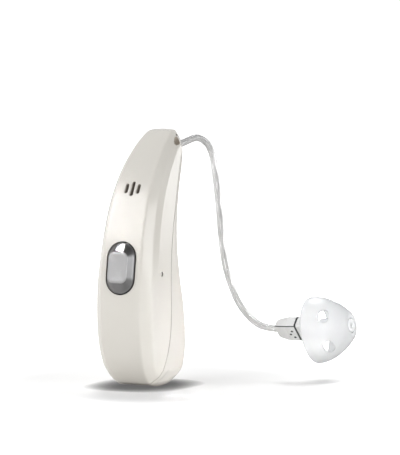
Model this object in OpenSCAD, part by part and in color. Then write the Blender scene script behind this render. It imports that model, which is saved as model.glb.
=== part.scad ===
// Behind-the-ear hearing aid, receiver-in-canal kind, with its lead, receiver and ear dome.
// Millimetres. X runs across the aid, +Y from the spine towards the ear, +Z up.
// The origin is the middle of the hollow rear face, where the aid sits on the ear.

/* [Housing] */
// Height of the housing
body_h = 33.3; // [28:0.1:40]
// Depth of the housing from the spine to the nose
body_d = 13.6; // [12.6:0.1:15]
// Width of the housing at its widest
body_w = 8.35; // [8.2:0.05:9.5]
// Wall of the two shells
wall = 0.8; // [0.6:0.05:0.85]
// How far the flat side stands in from the outline
chamfer_d = 1.25; // [0.9:0.05:1.6]
// Swell of the flat side at its middle
side_crown = 0.16; // [0.05:0.01:0.4]
// Gap at the line where the shells meet
seam_gap = 0.08; // [0.04:0.01:0.15]

/* [Rocker button] */
// Width of the rocker
rocker_w = 3.9; // [3.4:0.05:4.1]
// Length of the rocker
rocker_l = 6.6; // [6:0.1:7.4]
// Gap all round the rocker
rocker_gap = 0.16; // [0.12:0.01:0.25]
// Height of the raised pad
pad_rise = 1.05; // [0.5:0.05:1.4]
// Width of the raised pad
pad_w = 2.6; // [1.8:0.1:3]
// Length of the raised pad
pad_l = 3.85; // [3:0.05:4.6]
// Lean of the rocker's face along the spine
rocker_lean = 9; // [6:0.5:12]
// Radius of the hinge pin
hinge_r = 0.3; // [0.2:0.01:0.35]
// Running clearance of the hinge pin
hinge_fit = 0.03; // [0.02:0.01:0.06]

/* [Electronics] */
// Width of the circuit board
board_w = 4.7; // [4:0.1:4.8]
// Length of the circuit board
board_l = 13; // [11:0.5:13.5]
// Thickness of the circuit board
board_t = 0.4; // [0.3:0.05:0.5]
// Radius of the battery cell
cell_r = 2.5; // [2:0.05:2.6]
// Length of the battery cell
cell_l = 10.2; // [8:0.1:10.4]
// Radius of the charging coil
coil_r = 2; // [1.6:0.05:2.1]
// Radius of the pin that holds the frame in the shell
frame_pin_r = 0.3; // [0.2:0.01:0.32]

/* [Microphones] */
// Distance between the middles of the microphone slots
slot_pitch = 0.84; // [0.7:0.01:1]
// Width of a microphone slot
slot_w = 0.4; // [0.25:0.01:0.5]
// Length of the middle slot
slot_l = 2; // [1.4:0.1:2.4]
// Length of the two outer slots
outer_slot_l = 1.3; // [0.9:0.1:2]
// Lean of the spine at the slots
slot_lean = 29; // [24:1:34]

/* [Lead] */
// Diameter of the clear jacket
wire_d = 0.9; // [0.7:0.05:1.1]
// Diameter of the jacket's bore
wire_bore = 0.6; // [0.45:0.01:0.64]
// Radius of the plug
plug_r = 0.75; // [0.65:0.01:0.8]
// Sliding clearance of the plug in its socket
plug_fit = 0.05; // [0.02:0.01:0.09]
// Lean of the plug and its socket
plug_lean = 12; // [8:1:16]

/* [Receiver] */
// Height of the receiver's broad face
receiver_w = 3.1; // [2.8:0.05:3.4]
// Thickness of the receiver
receiver_t = 1.95; // [1.8:0.05:2.2]
// Wall of the receiver's shells
receiver_wall = 0.25; // [0.2:0.01:0.3]
// Roll of the receiver about its own length
receiver_roll = 44; // [35:1:55]

/* [Dome] */
// Radius of the dome's rim
rim_r = 4.35; // [3.6:0.05:5]
// Length of the dome from rim to tip
dome_l = 5.45; // [5.2:0.05:6.6]
// Wall of the dome's skirt
skirt_t = 0.32; // [0.25:0.01:0.4]
// Radius of the nozzle that the dome sits on
nozzle_r = 0.95; // [0.85:0.01:1]
// Clearance between the nozzle and the dome
dome_fit = 0.05; // [0.02:0.01:0.08]
// Number of vents in the skirt
vents = 5; // [3:1:5]
// Upward tilt of the dome
dome_tilt = 10; // [6:1:14]

/* [Hidden] */
$fn = 48;

// Overrun of every cut
over = 0.2;
// Gap between pieces that sit side by side
rest_gap = 0.06;

// Where the ear rests on the hollow rear face
seat_y = 0.75 * body_d;
seat_z = 0.525 * body_h;

// Stations up the housing, as shares of its depth and height:
// [spine y, spine z, rear y, rear z, half width, half width of the flat spine]
station_shares = [
    [0.463, 0.000, 0.463, 0.000, 0.800, 0.58],
    [0.310, 0.010, 0.635, 0.004, 0.825, 0.60],
    [0.180, 0.042, 0.780, 0.027, 0.870, 0.64],
    [0.095, 0.090, 0.855, 0.068, 0.930, 0.67],
    [0.043, 0.150, 0.880, 0.130, 0.980, 0.70],
    [0.012, 0.222, 0.872, 0.205, 1.000, 0.70],
    [0.000, 0.318, 0.832, 0.318, 1.000, 0.70],
    [0.010, 0.414, 0.775, 0.414, 0.988, 0.70],
    [0.045, 0.510, 0.748, 0.516, 0.970, 0.695],
    [0.096, 0.604, 0.758, 0.615, 0.942, 0.68],
    [0.180, 0.703, 0.798, 0.705, 0.902, 0.655],
    [0.287, 0.784, 0.860, 0.778, 0.852, 0.62],
    [0.420, 0.856, 0.934, 0.841, 0.797, 0.578],
    [0.603, 0.925, 0.985, 0.893, 0.735, 0.51],
    [0.800, 0.976, 0.998, 0.944, 0.675, 0.44],
    [0.915, 0.984, 0.915, 0.984, 0.640, 0.40]
];
// First and last station that the flat side's middle line reaches
middle_first = 3;
middle_last = 13;
// Share of the way to the middle line that the chamfer may take
chamfer_limit_share = 0.45;
// Share of the way to the middle line where the side's swell starts to flatten
crown_share = 0.5;
// Share of an inset that narrows the flat spine
spine_inset_share = 0.4;

// The parting line of the shells, as shares of the housing's depth and height
parting_shares = [
    [1.060, 1.100], [0.990, 0.985], [0.897, 0.922], [0.801, 0.862], [0.684, 0.769],
    [0.588, 0.670], [0.522, 0.577], [0.485, 0.492], [0.469, 0.402], [0.466, 0.306],
    [0.457, 0.230], [0.434, 0.173], [0.396, 0.116], [0.347, 0.063], [0.282, 0.021],
    [0.190, -0.030]
];

// Half width of the flat spine at the rocker, as a share of the housing's
spine_flat_share = 0.70;

// The rocker's middle on the spine
rocker_y = 0.024 * body_d;
rocker_z = 0.4715 * body_h;
rocker_plate_t = 0.7;
rocker_neck_w = 2.4;
rocker_neck_l = 5.2;
rocker_neck_bottom = 1.5;
rocker_boss_r = 0.62;
rocker_boss_l = 2.2;
rocker_foot_r = 0.45;
rocker_foot_at = 2.1;
rocker_foot_bottom = 2.05;
hinge_depth = 1.75;
pad_corner_r = 0.7;
pad_t = 0.08;
pad_foot_share = 0.93;

// The soft frame under the rocker's edge
seal_depth = 1.14;
seal_t = 0.15;
seal_edge = 0.46;
// The seal stays inside the spine's flat
seal_w = 2 * (spine_flat_share * (body_w / 2 - side_crown) - seal_edge);
seal_l = 7.4;
seal_lip = 0.35;

// The two switches under the rocker
switch_w = 1.7;
switch_l = 1.5;
switch_t = 0.4;
plunger_r = 0.35;
plunger_t = 0.2;
switch_gap = 0.15;
plunger_top = rocker_foot_bottom + switch_gap;
board_depth = plunger_top + plunger_t + switch_t;

// The chips on the board
chip_w = 2.6;
chip_l = 2.5;
chip_t = 0.45;
radio_w = 2;
radio_l = 2;
radio_t = 0.4;
chip_end = 1.8;
radio_end = 1.9;
chip_at = board_l / 2 - chip_end;
radio_at = radio_end - board_l / 2;

// The board, no wider than leaves room for its rails between the shell's walls
board_side_room = 3.65;
board_fit_w = min(board_w, body_w - board_side_room);

// The inner frame: two rails, a web behind the board and a cradle for the cell
rail_t = 0.3;
rail_depth = 1.5;
web_t = 0.25;
web_gap = 0.7;
frame_l = board_l + 2 * rest_gap;
hinge_l = board_fit_w + 2 * rail_t;
frame_pin_l = body_w * 0.93;
frame_pin_gap = 0.17;
frame_pin_z = 0.4445 * body_h;
cradle_t = 0.28;
cradle_below = 10.5;
cradle_l = 7;
cradle_rib_w = 3;
cradle_rib_h = 2.4;
cradle_rib_below = 7.3;

// Depth of the web's front, middle and back faces below the spine, and where they lie at a height
web_top = board_depth + board_t + web_gap;
function behind_spine(depth, z) =
    rocker_y + depth / cos(rocker_lean) + (z - rocker_z) * tan(rocker_lean);
frame_pin_y = behind_spine(board_depth + board_t + frame_pin_gap + frame_pin_r, frame_pin_z);

// The cell, held clear of the walls, of the web in front of it and of the antenna above it
cell_z = 2.75;
cell_side_room = 0.27;
cell_back_room = 0.5;
cell_rear_share = 0.80;
antenna_from_share = 0.414;
antenna_room = 0.6;
cell_fit_l = min(cell_l, antenna_from_share * body_h - antenna_room - cell_z);
cell_top = cell_z + cell_fit_l;
cradle_low = max(rocker_z - cradle_below, cell_z + rail_t);
cradle_top = min(cradle_low + cradle_l, cell_top - rail_t);
cell_front = behind_spine(web_top + web_t, cradle_top) + cradle_t + 2 * rest_gap;
cell_back = cell_rear_share * body_d - wall - cell_back_room;
cell_fit_r = min(
    cell_r, body_w / 2 - side_crown - wall - cradle_t - rest_gap - cell_side_room,
    (cell_back - cell_front) / 2
);
cell_y = max(0.522 * body_d, cell_front + cell_fit_r);
cell_cap_r = 1.3;
cell_cap_t = 0.3;

// The cradle's rib starts inside the web, at the rib's own height
cradle_rib_low = rocker_z - cradle_rib_below;
cradle_rib_top = min(cradle_rib_low + cradle_rib_h, cradle_top);
cradle_rib_y = behind_spine(web_top + web_t / 2, (cradle_rib_low + cradle_rib_top) / 2);

// The coil and its ferrite
coil_t = 0.55;
coil_hole_r = 1.15;
ferrite_t = 0.3;
ferrite_z = cell_z - ferrite_t - rest_gap;
coil_z = ferrite_z - coil_t - rest_gap;
tab_w = 1;
tab_t = 0.15;
tab_spread = 1.35;
// Share of the cell that a tab reaches across
tab_share = 0.8;

// The antenna strip along the rear wall
antenna_w = 3.4;
antenna_t = 0.14;
antenna_first = 7;
antenna_last = 11;

// The rear microphone behind its slots
slot_y = 0.268 * body_d;
slot_z = 0.7705 * body_h;
mic_w = 2.4;
mic_l = 1.9;
mic_t = 0.85;
mic_port_r = 0.3;
mic_port_t = 0.1;
mic_wall_gap = 0.12;
screen_w = 2.9;
screen_l = 2.4;
screen_t = 0.08;

// The front microphone under the top of the nose, and its inlets in both sides
nose_mic_y = 0.78 * body_d;
nose_mic_lean = 62;
nose_mic_w = 2;
nose_mic_l = 1.2;
nose_mic_t = 0.5;
nose_mic_over = 1.22;
scoop_x = 0.336 * body_w;
scoop_y = 0.805 * body_d;
scoop_z = 0.9445 * body_h;
scoop_r = 0.5;
scoop_l = 1;
scoop_rise = 20;
inlet_x = 0.293 * body_w;
inlet_y = 0.875 * body_d;
inlet_z = 0.973 * body_h;
inlet_r = 0.2;
inlet_l = 2;
inlet_dip = 35;
inlet_screen_at = 0.62;
nose_screen_t = 0.15;

// The plug, its socket and its collar at the nose
plug_y = 0.993 * body_d;
plug_z = 0.8975 * body_h;
nose_mic_z = max(0.938 * body_h, plug_z + nose_mic_over);
plug_in = 4.4;
plug_out = 0.9;
collar_r = 0.95;
collar_t = 0.55;
socket_wall = 0.35;
socket_from = 1.9;
socket_l = 2.9;
contact_ring_w = 0.35;
contact_ring_t = 0.12;
contact_pitch = 0.7;
contact_first = 0.75;
contacts = 3;
contact_leaf_w = 0.5;
contact_leaf_gap = 0.03;

// The lead's route from the nose to the receiver, whose first points follow the plug's outlet
lead_gap = 0.03;
lead_start = [
    0, plug_y + (plug_out + lead_gap) * cos(plug_lean), plug_z + (plug_out + lead_gap) * sin(plug_lean)
];
lead_follow = 9;
lead_drawn = [
    [0, 14.4145, 30.0801], [0, 16, 30.5], [0, 17.9, 30.7], [0, 21.6, 31.1], [0, 24.4, 30.3],
    [0, 25.8, 29.1], [0.3, 26, 27.7], [0.6, 25.8, 26.4], [1.2, 25.2, 24.4],
    [2, 24.2, 21.9], [3, 22.9, 18.2], [4.1, 22, 14.2], [5.4, 21.6, 11.2],
    [6.6, 21.2, 9.4], [8.1, 21.1, 7.8], [9.6, 21, 6.9], [11, 21, 6.55], [12.2, 21, 6.5]
];
lead_route = [
    for (i = [0 : len(lead_drawn) - 1])
        lead_drawn[i] + (lead_start - lead_drawn[0]) * max(1 - i / lead_follow, 0)
];
lead_steps = 3;
lead_sides = 8;
// A direction that the lead never runs along, to square its rings by
lead_square = [-1, 1, 1];
conductor_gap = 0.02;

// The receiver at the end of the lead
receiver_x = 12.25;
receiver_y = 20.95;
receiver_z = 6.6;
receiver_tilt = 3;
boot_l = 1.7;
boot_r = 0.8;
boot_step = 0.2;
boot_bulge_share = 0.4;
rear_case_l = 1.4;
front_case_l = 2.3;
gasket_t = 0.2;
seam_t = 0.14;
case_corner_r = 0.28;
case_broad_r = 0.75;
driver_gap = 0.05;
driver_end_gap = 0.15;
case_end_gap = 0.02;

// The dome and the nozzle
dome_x = 17.55;
dome_y = 21;
dome_z = 6.54;
tip_r = 1.62;
bell_power = 2.1;
bell_steps = 10;
rim_t = 0.26;
core_wall = 0.36;
core_from = 1.15;
core_root = 4.45;
vent_at = 3.0;
vent_w = 1.3;
vent_l = 1.9;
vent_turn = 23;
nozzle_from = 0.95;
nozzle_back = 0.75;
nozzle_bore_r = 0.6;
guard_r = 0.88;
guard_stem_r = 0.55;
guard_stem_l = 0.9;
guard_t = 0.22;
guard_hole_r = 0.3;

// Colours
pearl = [0.90, 0.89, 0.86];
pearl_grey = [0.78, 0.77, 0.74];
dark = [0.22, 0.21, 0.20];
steel = [0.75, 0.76, 0.78];
gold = [0.85, 0.68, 0.32];
copper = [0.78, 0.45, 0.25];
board_green = [0.10, 0.32, 0.22];
clear_grey = [0.85, 0.87, 0.88, 0.5];
silicone = [0.92, 0.93, 0.94, 0.6];

function mix(a, b, t) = a + (b - a) * t;
function unit(v) = v / norm(v);
function clamp(v, low, high) = min(max(v, low), high);

// A smooth curve through rows of numbers
function curve_row(rows, i, t) =
    let (a = rows[max(i - 1, 0)], b = rows[i], c = rows[i + 1], d = rows[min(i + 2, len(rows) - 1)])
    b + (c - a) * t / 2 + (2 * a - 5 * b + 4 * c - d) * t * t / 2 + (3 * b - a - 3 * c + d) * t * t * t / 2;
function curve(rows, steps) = [
    for (i = [0 : len(rows) - 2]) for (k = [0 : steps - 1]) curve_row(rows, i, k / steps),
    rows[len(rows) - 1]
];

// A station row in real sizes
function station_size(row) = [
    row[0] * body_d, row[1] * body_h, row[2] * body_d, row[3] * body_h,
    row[4] * (body_w / 2 - side_crown), row[5] * (body_w / 2 - side_crown)
];
function stations(steps) = [for (row = curve(station_shares, steps)) station_size(row)];

// The middle of a station's chord, held inside the middle line's ends
function middle_at(rows, i, steps) =
    let (row = rows[clamp(i, middle_first * steps, middle_last * steps)])
    [(row[0] + row[2]) / 2, (row[1] + row[3]) / 2];

// The outline of the housing seen from the side, up the spine and down the rear
function outline_row(k, last) = k <= last ? k : 2 * last - k;
function outline_point(rows, k) =
    let (last = len(rows) - 1, row = rows[outline_row(k, last)])
    k <= last ? [row[0], row[1]] : [row[2], row[3]];
function inset_point(rows, k, steps, inset) =
    let (
        point = outline_point(rows, k),
        target = middle_at(rows, outline_row(k, len(rows) - 1), steps)
    )
    point + unit(target - point) * inset;
function chamfer_point(rows, k, steps, inset) =
    let (
        point = inset_point(rows, k, steps, inset),
        target = middle_at(rows, outline_row(k, len(rows) - 1), steps),
        reach = norm(target - point)
    )
    mix(point, target, min(chamfer_d / reach, chamfer_limit_share));

// The housing as rings along X: spine edge, chamfer edge, swell and middle line
module housing(inset, steps) {
    rows = stations(steps);
    last = len(rows) - 1;
    count = 2 * last;
    low = middle_first * steps;
    high = middle_last * steps;
    ring_set = [
        for (side = [-1, 1]) each [
            for (k = [0 : count - 1])
                let (p = inset_point(rows, k, steps, inset), row = rows[outline_row(k, last)])
                [side * (row[5] - inset * spine_inset_share), p[0], p[1]],
            for (k = [0 : count - 1])
                let (p = chamfer_point(rows, k, steps, inset), row = rows[outline_row(k, last)])
                [side * (row[4] - inset), p[0], p[1]],
            for (k = [0 : count - 1])
                let (
                    r = outline_row(k, last),
                    p = mix(chamfer_point(rows, k, steps, inset), middle_at(rows, r, steps), crown_share)
                )
                [side * (rows[r][4] - inset + side_crown * 0.75), p[0], p[1]],
            for (r = [low : high])
                let (p = middle_at(rows, r, steps))
                [side * (rows[r][4] - inset + side_crown), p[0], p[1]]
        ]
    ];
    side_size = 3 * count + high - low + 1;
    faces_of = function (s) let (base = s * side_size, flip = s == 0) [
        for (band = [0, 1]) for (k = [0 : count - 1])
            let (
                a = base + band * count + k,
                b = base + band * count + (k + 1) % count,
                c = a + count,
                d = b + count
            )
            each (flip ? [[a, c, b], [b, c, d]] : [[a, b, c], [b, d, c]]),
        for (k = [0 : count - 1])
            let (
                a = base + 2 * count + k,
                b = base + 2 * count + (k + 1) % count,
                ra = clamp(outline_row(k, last), low, high) - low,
                rb = clamp(outline_row((k + 1) % count, last), low, high) - low,
                c = base + 3 * count + ra,
                d = base + 3 * count + rb
            )
            each (ra == rb
                ? (flip ? [[a, c, b]] : [[a, b, c]])
                : (flip ? [[a, c, b], [b, c, d]] : [[a, b, c], [b, d, c]]))
    ];
    spine_faces = [
        for (k = [0 : count - 1])
            let (a = k, b = (k + 1) % count, c = side_size + a, d = side_size + b)
            each [[a, b, c], [b, d, c]]
    ];
    polyhedron(points = ring_set, faces = concat(faces_of(0), faces_of(1), spine_faces));
}

// A side view, given as (y, z), drawn out along X
module across(width) {
    rotate([90, 0, 90]) linear_extrude(height = width, center = true) children();
}

// Everything is drawn from the housing's foot and moved to the ear seat
module seated() {
    translate([0, -seat_y, -seat_z]) children();
}

// A frame on the spine: local Z points out of the shell, local Y runs up the spine
module on_spine(y, z, lean) {
    translate([0, y, z]) rotate([90 - lean, 0, 0]) children();
}

module at_rocker() {
    on_spine(rocker_y, rocker_z, rocker_lean) children();
}

module at_slots() {
    on_spine(slot_y, slot_z, slot_lean) children();
}

module at_nose_mic() {
    on_spine(nose_mic_y, nose_mic_z, nose_mic_lean) children();
}

// Local Z points out of the nose along the plug
module at_plug() {
    translate([0, plug_y, plug_z]) rotate([plug_lean - 90, 0, 0]) children();
}

// Local X runs along the receiver, rolled so that its seam faces the front
module at_receiver() {
    translate([receiver_x, receiver_y, receiver_z])
        rotate([0, -receiver_tilt, 0])
            children();
}

// Local Z runs from the dome's rim to its tip
module at_dome() {
    translate([dome_x, dome_y, dome_z]) rotate([0, 90 - dome_tilt, 0]) children();
}

module stadium(w, l) {
    square([w, l - w], center = true);
    for (side = [-1, 1]) translate([0, side * (l - w) / 2]) circle(d = w);
}

module rounded(w, l, r) {
    square([w, l - 2 * r], center = true);
    square([w - 2 * r, l], center = true);
    for (a = [-1, 1], b = [-1, 1]) translate([a * (w / 2 - r), b * (l / 2 - r)]) circle(r);
}

// A layer of a given thickness whose top lies at a depth below the shell's face
module layer(depth, t) {
    translate([0, 0, -depth - t]) linear_extrude(height = t) children();
}

function parting_line() = curve([for (p = parting_shares) [p[0] * body_d, p[1] * body_h]], 2);

// The space in front of the parting line, moved forward by a gap
module front_space(gap) {
    line = parting_line();
    across(2 * body_w)
        polygon(concat(
            [for (p = line) [p[0] - gap, p[1]]],
            [[-body_d, -body_h / 2], [-body_d, 2 * body_h]]
        ));
}

module shell_wall() {
    difference() {
        housing(0, 2);
        housing(wall, 1);
    }
}

module frame_pin_axis(r, l) {
    translate([0, frame_pin_y, frame_pin_z])
        rotate([0, 90, 0])
            cylinder(r = r, h = l, center = true);
}

// A scoop on the nose's side, with a small hole above it that leads in to the microphone
module nose_inlets(side) {
    translate([side * scoop_x, scoop_y, scoop_z]) rotate([scoop_rise - 90, 0, 0]) {
        cylinder(r = scoop_r, h = scoop_l, center = true);
        for (end = [-1, 1]) translate([0, 0, end * scoop_l / 2]) sphere(r = scoop_r);
    }
    at_inlet(side) cylinder(r = inlet_r, h = inlet_l);
}

// Local Z points in along the hole, from just outside the nose
module at_inlet(side) {
    translate([side * inlet_x, inlet_y, inlet_z])
        rotate([0, -side * (90 + inlet_dip), 0])
            children();
}

module front_shell() {
    color(pearl) seated()
        difference() {
            intersection() {
                shell_wall();
                front_space(seam_gap / 2);
            }
            at_rocker() layer(-2 * wall, 4 * wall) stadium(rocker_w + 2 * rocker_gap, rocker_l + 2 * rocker_gap);
            at_slots() for (i = [-1, 0, 1])
                translate([i * slot_pitch, 0])
                    layer(-wall, 3 * wall) stadium(slot_w, i == 0 ? slot_l : outer_slot_l);
            for (side = [-1, 1]) nose_inlets(side);
            frame_pin_axis(frame_pin_r + hinge_fit, body_w + over);
        }
}

module rear_shell() {
    color(pearl) seated()
        difference() {
            shell_wall();
            front_space(-seam_gap / 2);
            at_plug() cylinder(r = plug_r + 2 * plug_fit, h = 4 * wall, center = true);
        }
}

module rocker_button() {
    color(pearl_grey) seated() at_rocker() {
        difference() {
            union() {
                layer(0, rocker_plate_t) stadium(rocker_w, rocker_l);
                layer(rocker_plate_t, rocker_neck_bottom - rocker_plate_t)
                    rounded(rocker_neck_w, rocker_neck_l, rocker_foot_r);
                translate([0, 0, -hinge_depth])
                    rotate([0, 90, 0])
                        cylinder(r = rocker_boss_r, h = rocker_boss_l, center = true);
                for (side = [-1, 1]) translate([0, side * rocker_foot_at])
                    layer(rocker_neck_bottom, rocker_foot_bottom - rocker_neck_bottom) circle(rocker_foot_r);
            }
            translate([0, 0, -hinge_depth])
                rotate([0, 90, 0])
                    cylinder(r = hinge_r + hinge_fit, h = rocker_boss_l + over, center = true);
        }
        hull() {
            linear_extrude(height = pad_t)
                stadium(rocker_w * pad_foot_share, rocker_l * pad_foot_share, $fn = 32);
            translate([0, 0, pad_rise - pad_t])
                linear_extrude(height = pad_t) rounded(pad_w, pad_l, pad_corner_r, $fn = 32);
        }
    }
}

module button_seal() {
    color(dark) seated() at_rocker()
        layer(seal_depth, seal_t)
            difference() {
                stadium(seal_w, seal_l);
                rounded(rocker_neck_w + seal_lip, rocker_neck_l + seal_lip, rocker_foot_r);
            }
}

module rocker_pin() {
    color(steel) seated() at_rocker()
        translate([0, 0, -hinge_depth])
            rotate([0, 90, 0])
                cylinder(r = hinge_r, h = hinge_l, center = true);
}

module tact_switch(side) {
    color(steel) seated() at_rocker() translate([0, side * rocker_foot_at]) {
        layer(board_depth - switch_t, switch_t) square([switch_w, switch_l], center = true);
        layer(plunger_top, plunger_t) circle(plunger_r);
    }
}

module upper_switch() {
    tact_switch(1);
}

module lower_switch() {
    tact_switch(-1);
}

module circuit_board() {
    color(board_green) seated() at_rocker()
        layer(board_depth, board_t) rounded(board_fit_w, board_l, rocker_foot_r);
}

module sound_processor() {
    color(dark) seated() at_rocker() translate([0, chip_at])
        layer(board_depth - chip_t, chip_t) square([chip_w, chip_l], center = true);
}

module radio_chip() {
    color(dark) seated() at_rocker() translate([0, radio_at])
        layer(board_depth - radio_t, radio_t) square([radio_w, radio_l], center = true);
}

module inner_frame() {
    rail_top = board_depth - rest_gap;
    ear_top = seal_depth + seal_t + rest_gap;
    color(pearl_grey) seated() difference() {
        union() {
            at_rocker() {
                for (side = [-1, 1]) translate([side * (board_fit_w / 2 + rest_gap + rail_t / 2), 0]) {
                    layer(rail_top, rail_depth + rest_gap) square([rail_t, frame_l], center = true);
                    layer(ear_top, rail_top - ear_top + rest_gap) square([rail_t, 2 * rocker_boss_r], center = true);
                }
                layer(web_top, web_t) square([board_fit_w + 2 * rest_gap + rail_t, frame_l], center = true);
            }
            difference() {
                translate([0, cell_y, cradle_low])
                    cylinder(r = cell_fit_r + rest_gap + cradle_t, h = cradle_top - cradle_low);
                translate([-body_w / 2, cell_y, cradle_low - over])
                    cube([body_w, body_d, cradle_top - cradle_low + 2 * over]);
            }
            translate([-cradle_rib_w / 2, cradle_rib_y, cradle_rib_low])
                cube([cradle_rib_w, cell_y - cell_fit_r - cradle_rib_y, cradle_rib_top - cradle_rib_low]);
        }
        translate([0, cell_y, cradle_low - over])
            cylinder(r = cell_fit_r + rest_gap, h = cradle_top - cradle_low + 2 * over);
        frame_pin_axis(frame_pin_r + hinge_fit, body_w);
        at_rocker() translate([0, 0, -hinge_depth]) rotate([0, 90, 0])
            cylinder(r = hinge_r + hinge_fit, h = body_w, center = true);
    }
}

module frame_pin() {
    color(dark) seated() frame_pin_axis(frame_pin_r, frame_pin_l);
}

module battery_cell() {
    color(steel) seated() translate([0, cell_y, cell_z]) {
        cylinder(r = cell_fit_r, h = cell_fit_l - cell_cap_t);
        translate([0, 0, cell_fit_l - cell_cap_t]) cylinder(r = cell_cap_r, h = cell_cap_t);
    }
}

module battery_tabs() {
    color(gold) seated() for (side = [-1, 1])
        translate([side * tab_spread - tab_w / 2, cell_y - cell_fit_r, cell_top + rest_gap])
            cube([tab_w, 2 * cell_fit_r * tab_share, tab_t]);
}

module charging_coil() {
    color(copper) seated() translate([0, cell_y, coil_z])
        difference() {
            cylinder(r = coil_r, h = coil_t);
            translate([0, 0, -over]) cylinder(r = coil_hole_r, h = coil_t + 2 * over);
        }
}

module coil_ferrite() {
    color(dark) seated() translate([0, cell_y, ferrite_z]) cylinder(r = coil_r, h = ferrite_t);
}

module antenna_strip() {
    rows = stations(1);
    near = wall + rest_gap;
    count = 2 * (len(rows) - 1);
    ks = [for (r = [antenna_first : antenna_last]) count - r];
    color(copper) seated() across(antenna_w)
        polygon(concat(
            [for (k = ks) inset_point(rows, k, 1, near)],
            [for (i = [len(ks) - 1 : -1 : 0]) inset_point(rows, ks[i], 1, near + antenna_t)]
        ));
}

// A ribbon from the top of the board to the back of the socket
flex_w = 2.2;
flex_t = 0.14;
flex_gap = 0.1;
flex_depth = board_depth + board_t + 0.04;
flex_reach = board_l / 2 + flex_gap;
flex_from = [
    rocker_y + flex_reach * sin(rocker_lean) + flex_depth * cos(rocker_lean),
    rocker_z + flex_reach * cos(rocker_lean) - flex_depth * sin(rocker_lean)
];
flex_rise = [1.29, 1.6];
flex_shares = [[0.53, 0.755], [0.60, 0.81], [0.625, 0.845]];

module flex_tail() {
    line = curve(
        [flex_from, flex_from + flex_rise, for (p = flex_shares) [p[0] * body_d, p[1] * body_h]], 3
    );
    color(copper) seated() across(flex_w)
        polygon(concat(line, [for (i = [len(line) - 1 : -1 : 0]) line[i] + [flex_t, -flex_t / 2]]));
}

module mic_can(w, l, t) {
    layer(mic_port_t, t - mic_port_t) square([w, l], center = true);
    layer(0, mic_port_t) circle(mic_port_r);
}

module rear_microphone() {
    color(steel) seated() at_slots()
        translate([0, 0, -wall - mic_wall_gap - screen_t - rest_gap]) mic_can(mic_w, mic_l, mic_t);
}

module rear_mic_screen() {
    color(dark) seated() at_slots()
        layer(wall + mic_wall_gap, screen_t) rounded(screen_w, screen_l, slot_w);
}

module front_microphone() {
    color(steel) seated() at_nose_mic() mic_can(nose_mic_w, nose_mic_l, nose_mic_t);
}

module front_mic_screen() {
    color(dark) seated() for (side = [-1, 1])
        at_inlet(side) translate([0, 0, inlet_screen_at]) cylinder(r = inlet_r - rest_gap / 2, h = nose_screen_t);
}

module receiver_socket() {
    color(dark) seated() at_plug() translate([0, 0, -socket_from - socket_l])
        difference() {
            cylinder(r = plug_r + plug_fit + socket_wall, h = socket_l);
            translate([0, 0, -over]) cylinder(r = plug_r + plug_fit, h = socket_l + 2 * over);
            for (i = [0 : contacts - 1])
                translate([0, plug_r + socket_wall, contact_first + i * contact_pitch])
                    cube([contact_leaf_w + rest_gap, 2 * socket_wall, contact_ring_w + rest_gap], center = true);
        }
}

module socket_contacts() {
    leaf_h = socket_wall;
    color(gold) seated() at_plug() translate([0, 0, -socket_from - socket_l])
        for (i = [0 : contacts - 1])
            translate([0, plug_r + plug_fit + leaf_h / 2, contact_first + i * contact_pitch])
                cube([contact_leaf_w, leaf_h, contact_ring_w], center = true);
}

module contact_rings(r) {
    for (i = [0 : contacts - 1])
        translate([0, 0, -socket_from - socket_l + contact_first + i * contact_pitch])
            difference() {
                cylinder(r = r, h = contact_ring_w, center = true);
                cylinder(r = plug_r - contact_ring_t, h = contact_ring_w + over, center = true);
            }
}

module lead_plug() {
    color(pearl_grey) seated() at_plug()
        difference() {
            union() {
                translate([0, 0, -plug_in]) cylinder(r = plug_r, h = plug_in + plug_out);
                translate([0, 0, plug_out - collar_t]) cylinder(r = collar_r, h = collar_t);
            }
            contact_rings(plug_r + over);
        }
}

module plug_contacts() {
    color(gold) seated() at_plug() contact_rings(plug_r);
}

// A tube along the lead's route, with or without a bore
function lead_points() = curve(lead_route, lead_steps);
function lead_direction(points, i) =
    unit(points[min(i + 1, len(points) - 1)] - points[max(i - 1, 0)]);
function lead_ring(points, i, r) =
    let (
        along = lead_direction(points, i),
        side = unit(cross(along, lead_square)),
        up = cross(side, along)
    )
    [for (k = [0 : lead_sides - 1]) points[i] + r * (cos(360 * k / lead_sides) * side + sin(360 * k / lead_sides) * up)];

module lead_tube(r) {
    points = lead_points();
    rings = len(points);
    polyhedron(
        points = [for (i = [0 : rings - 1]) each lead_ring(points, i, r)],
        faces = [
            for (i = [0 : rings - 2]) for (k = [0 : lead_sides - 1])
                let (a = i * lead_sides + k, b = i * lead_sides + (k + 1) % lead_sides)
                each [[a, b, a + lead_sides], [b, b + lead_sides, a + lead_sides]],
            [for (k = [0 : lead_sides - 1]) lead_sides - 1 - k],
            [for (k = [0 : lead_sides - 1]) (rings - 1) * lead_sides + k]
        ]
    );
}

module wire_jacket() {
    color(clear_grey) seated() lead_pipe(wire_d / 2, wire_bore / 2);
}

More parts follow.
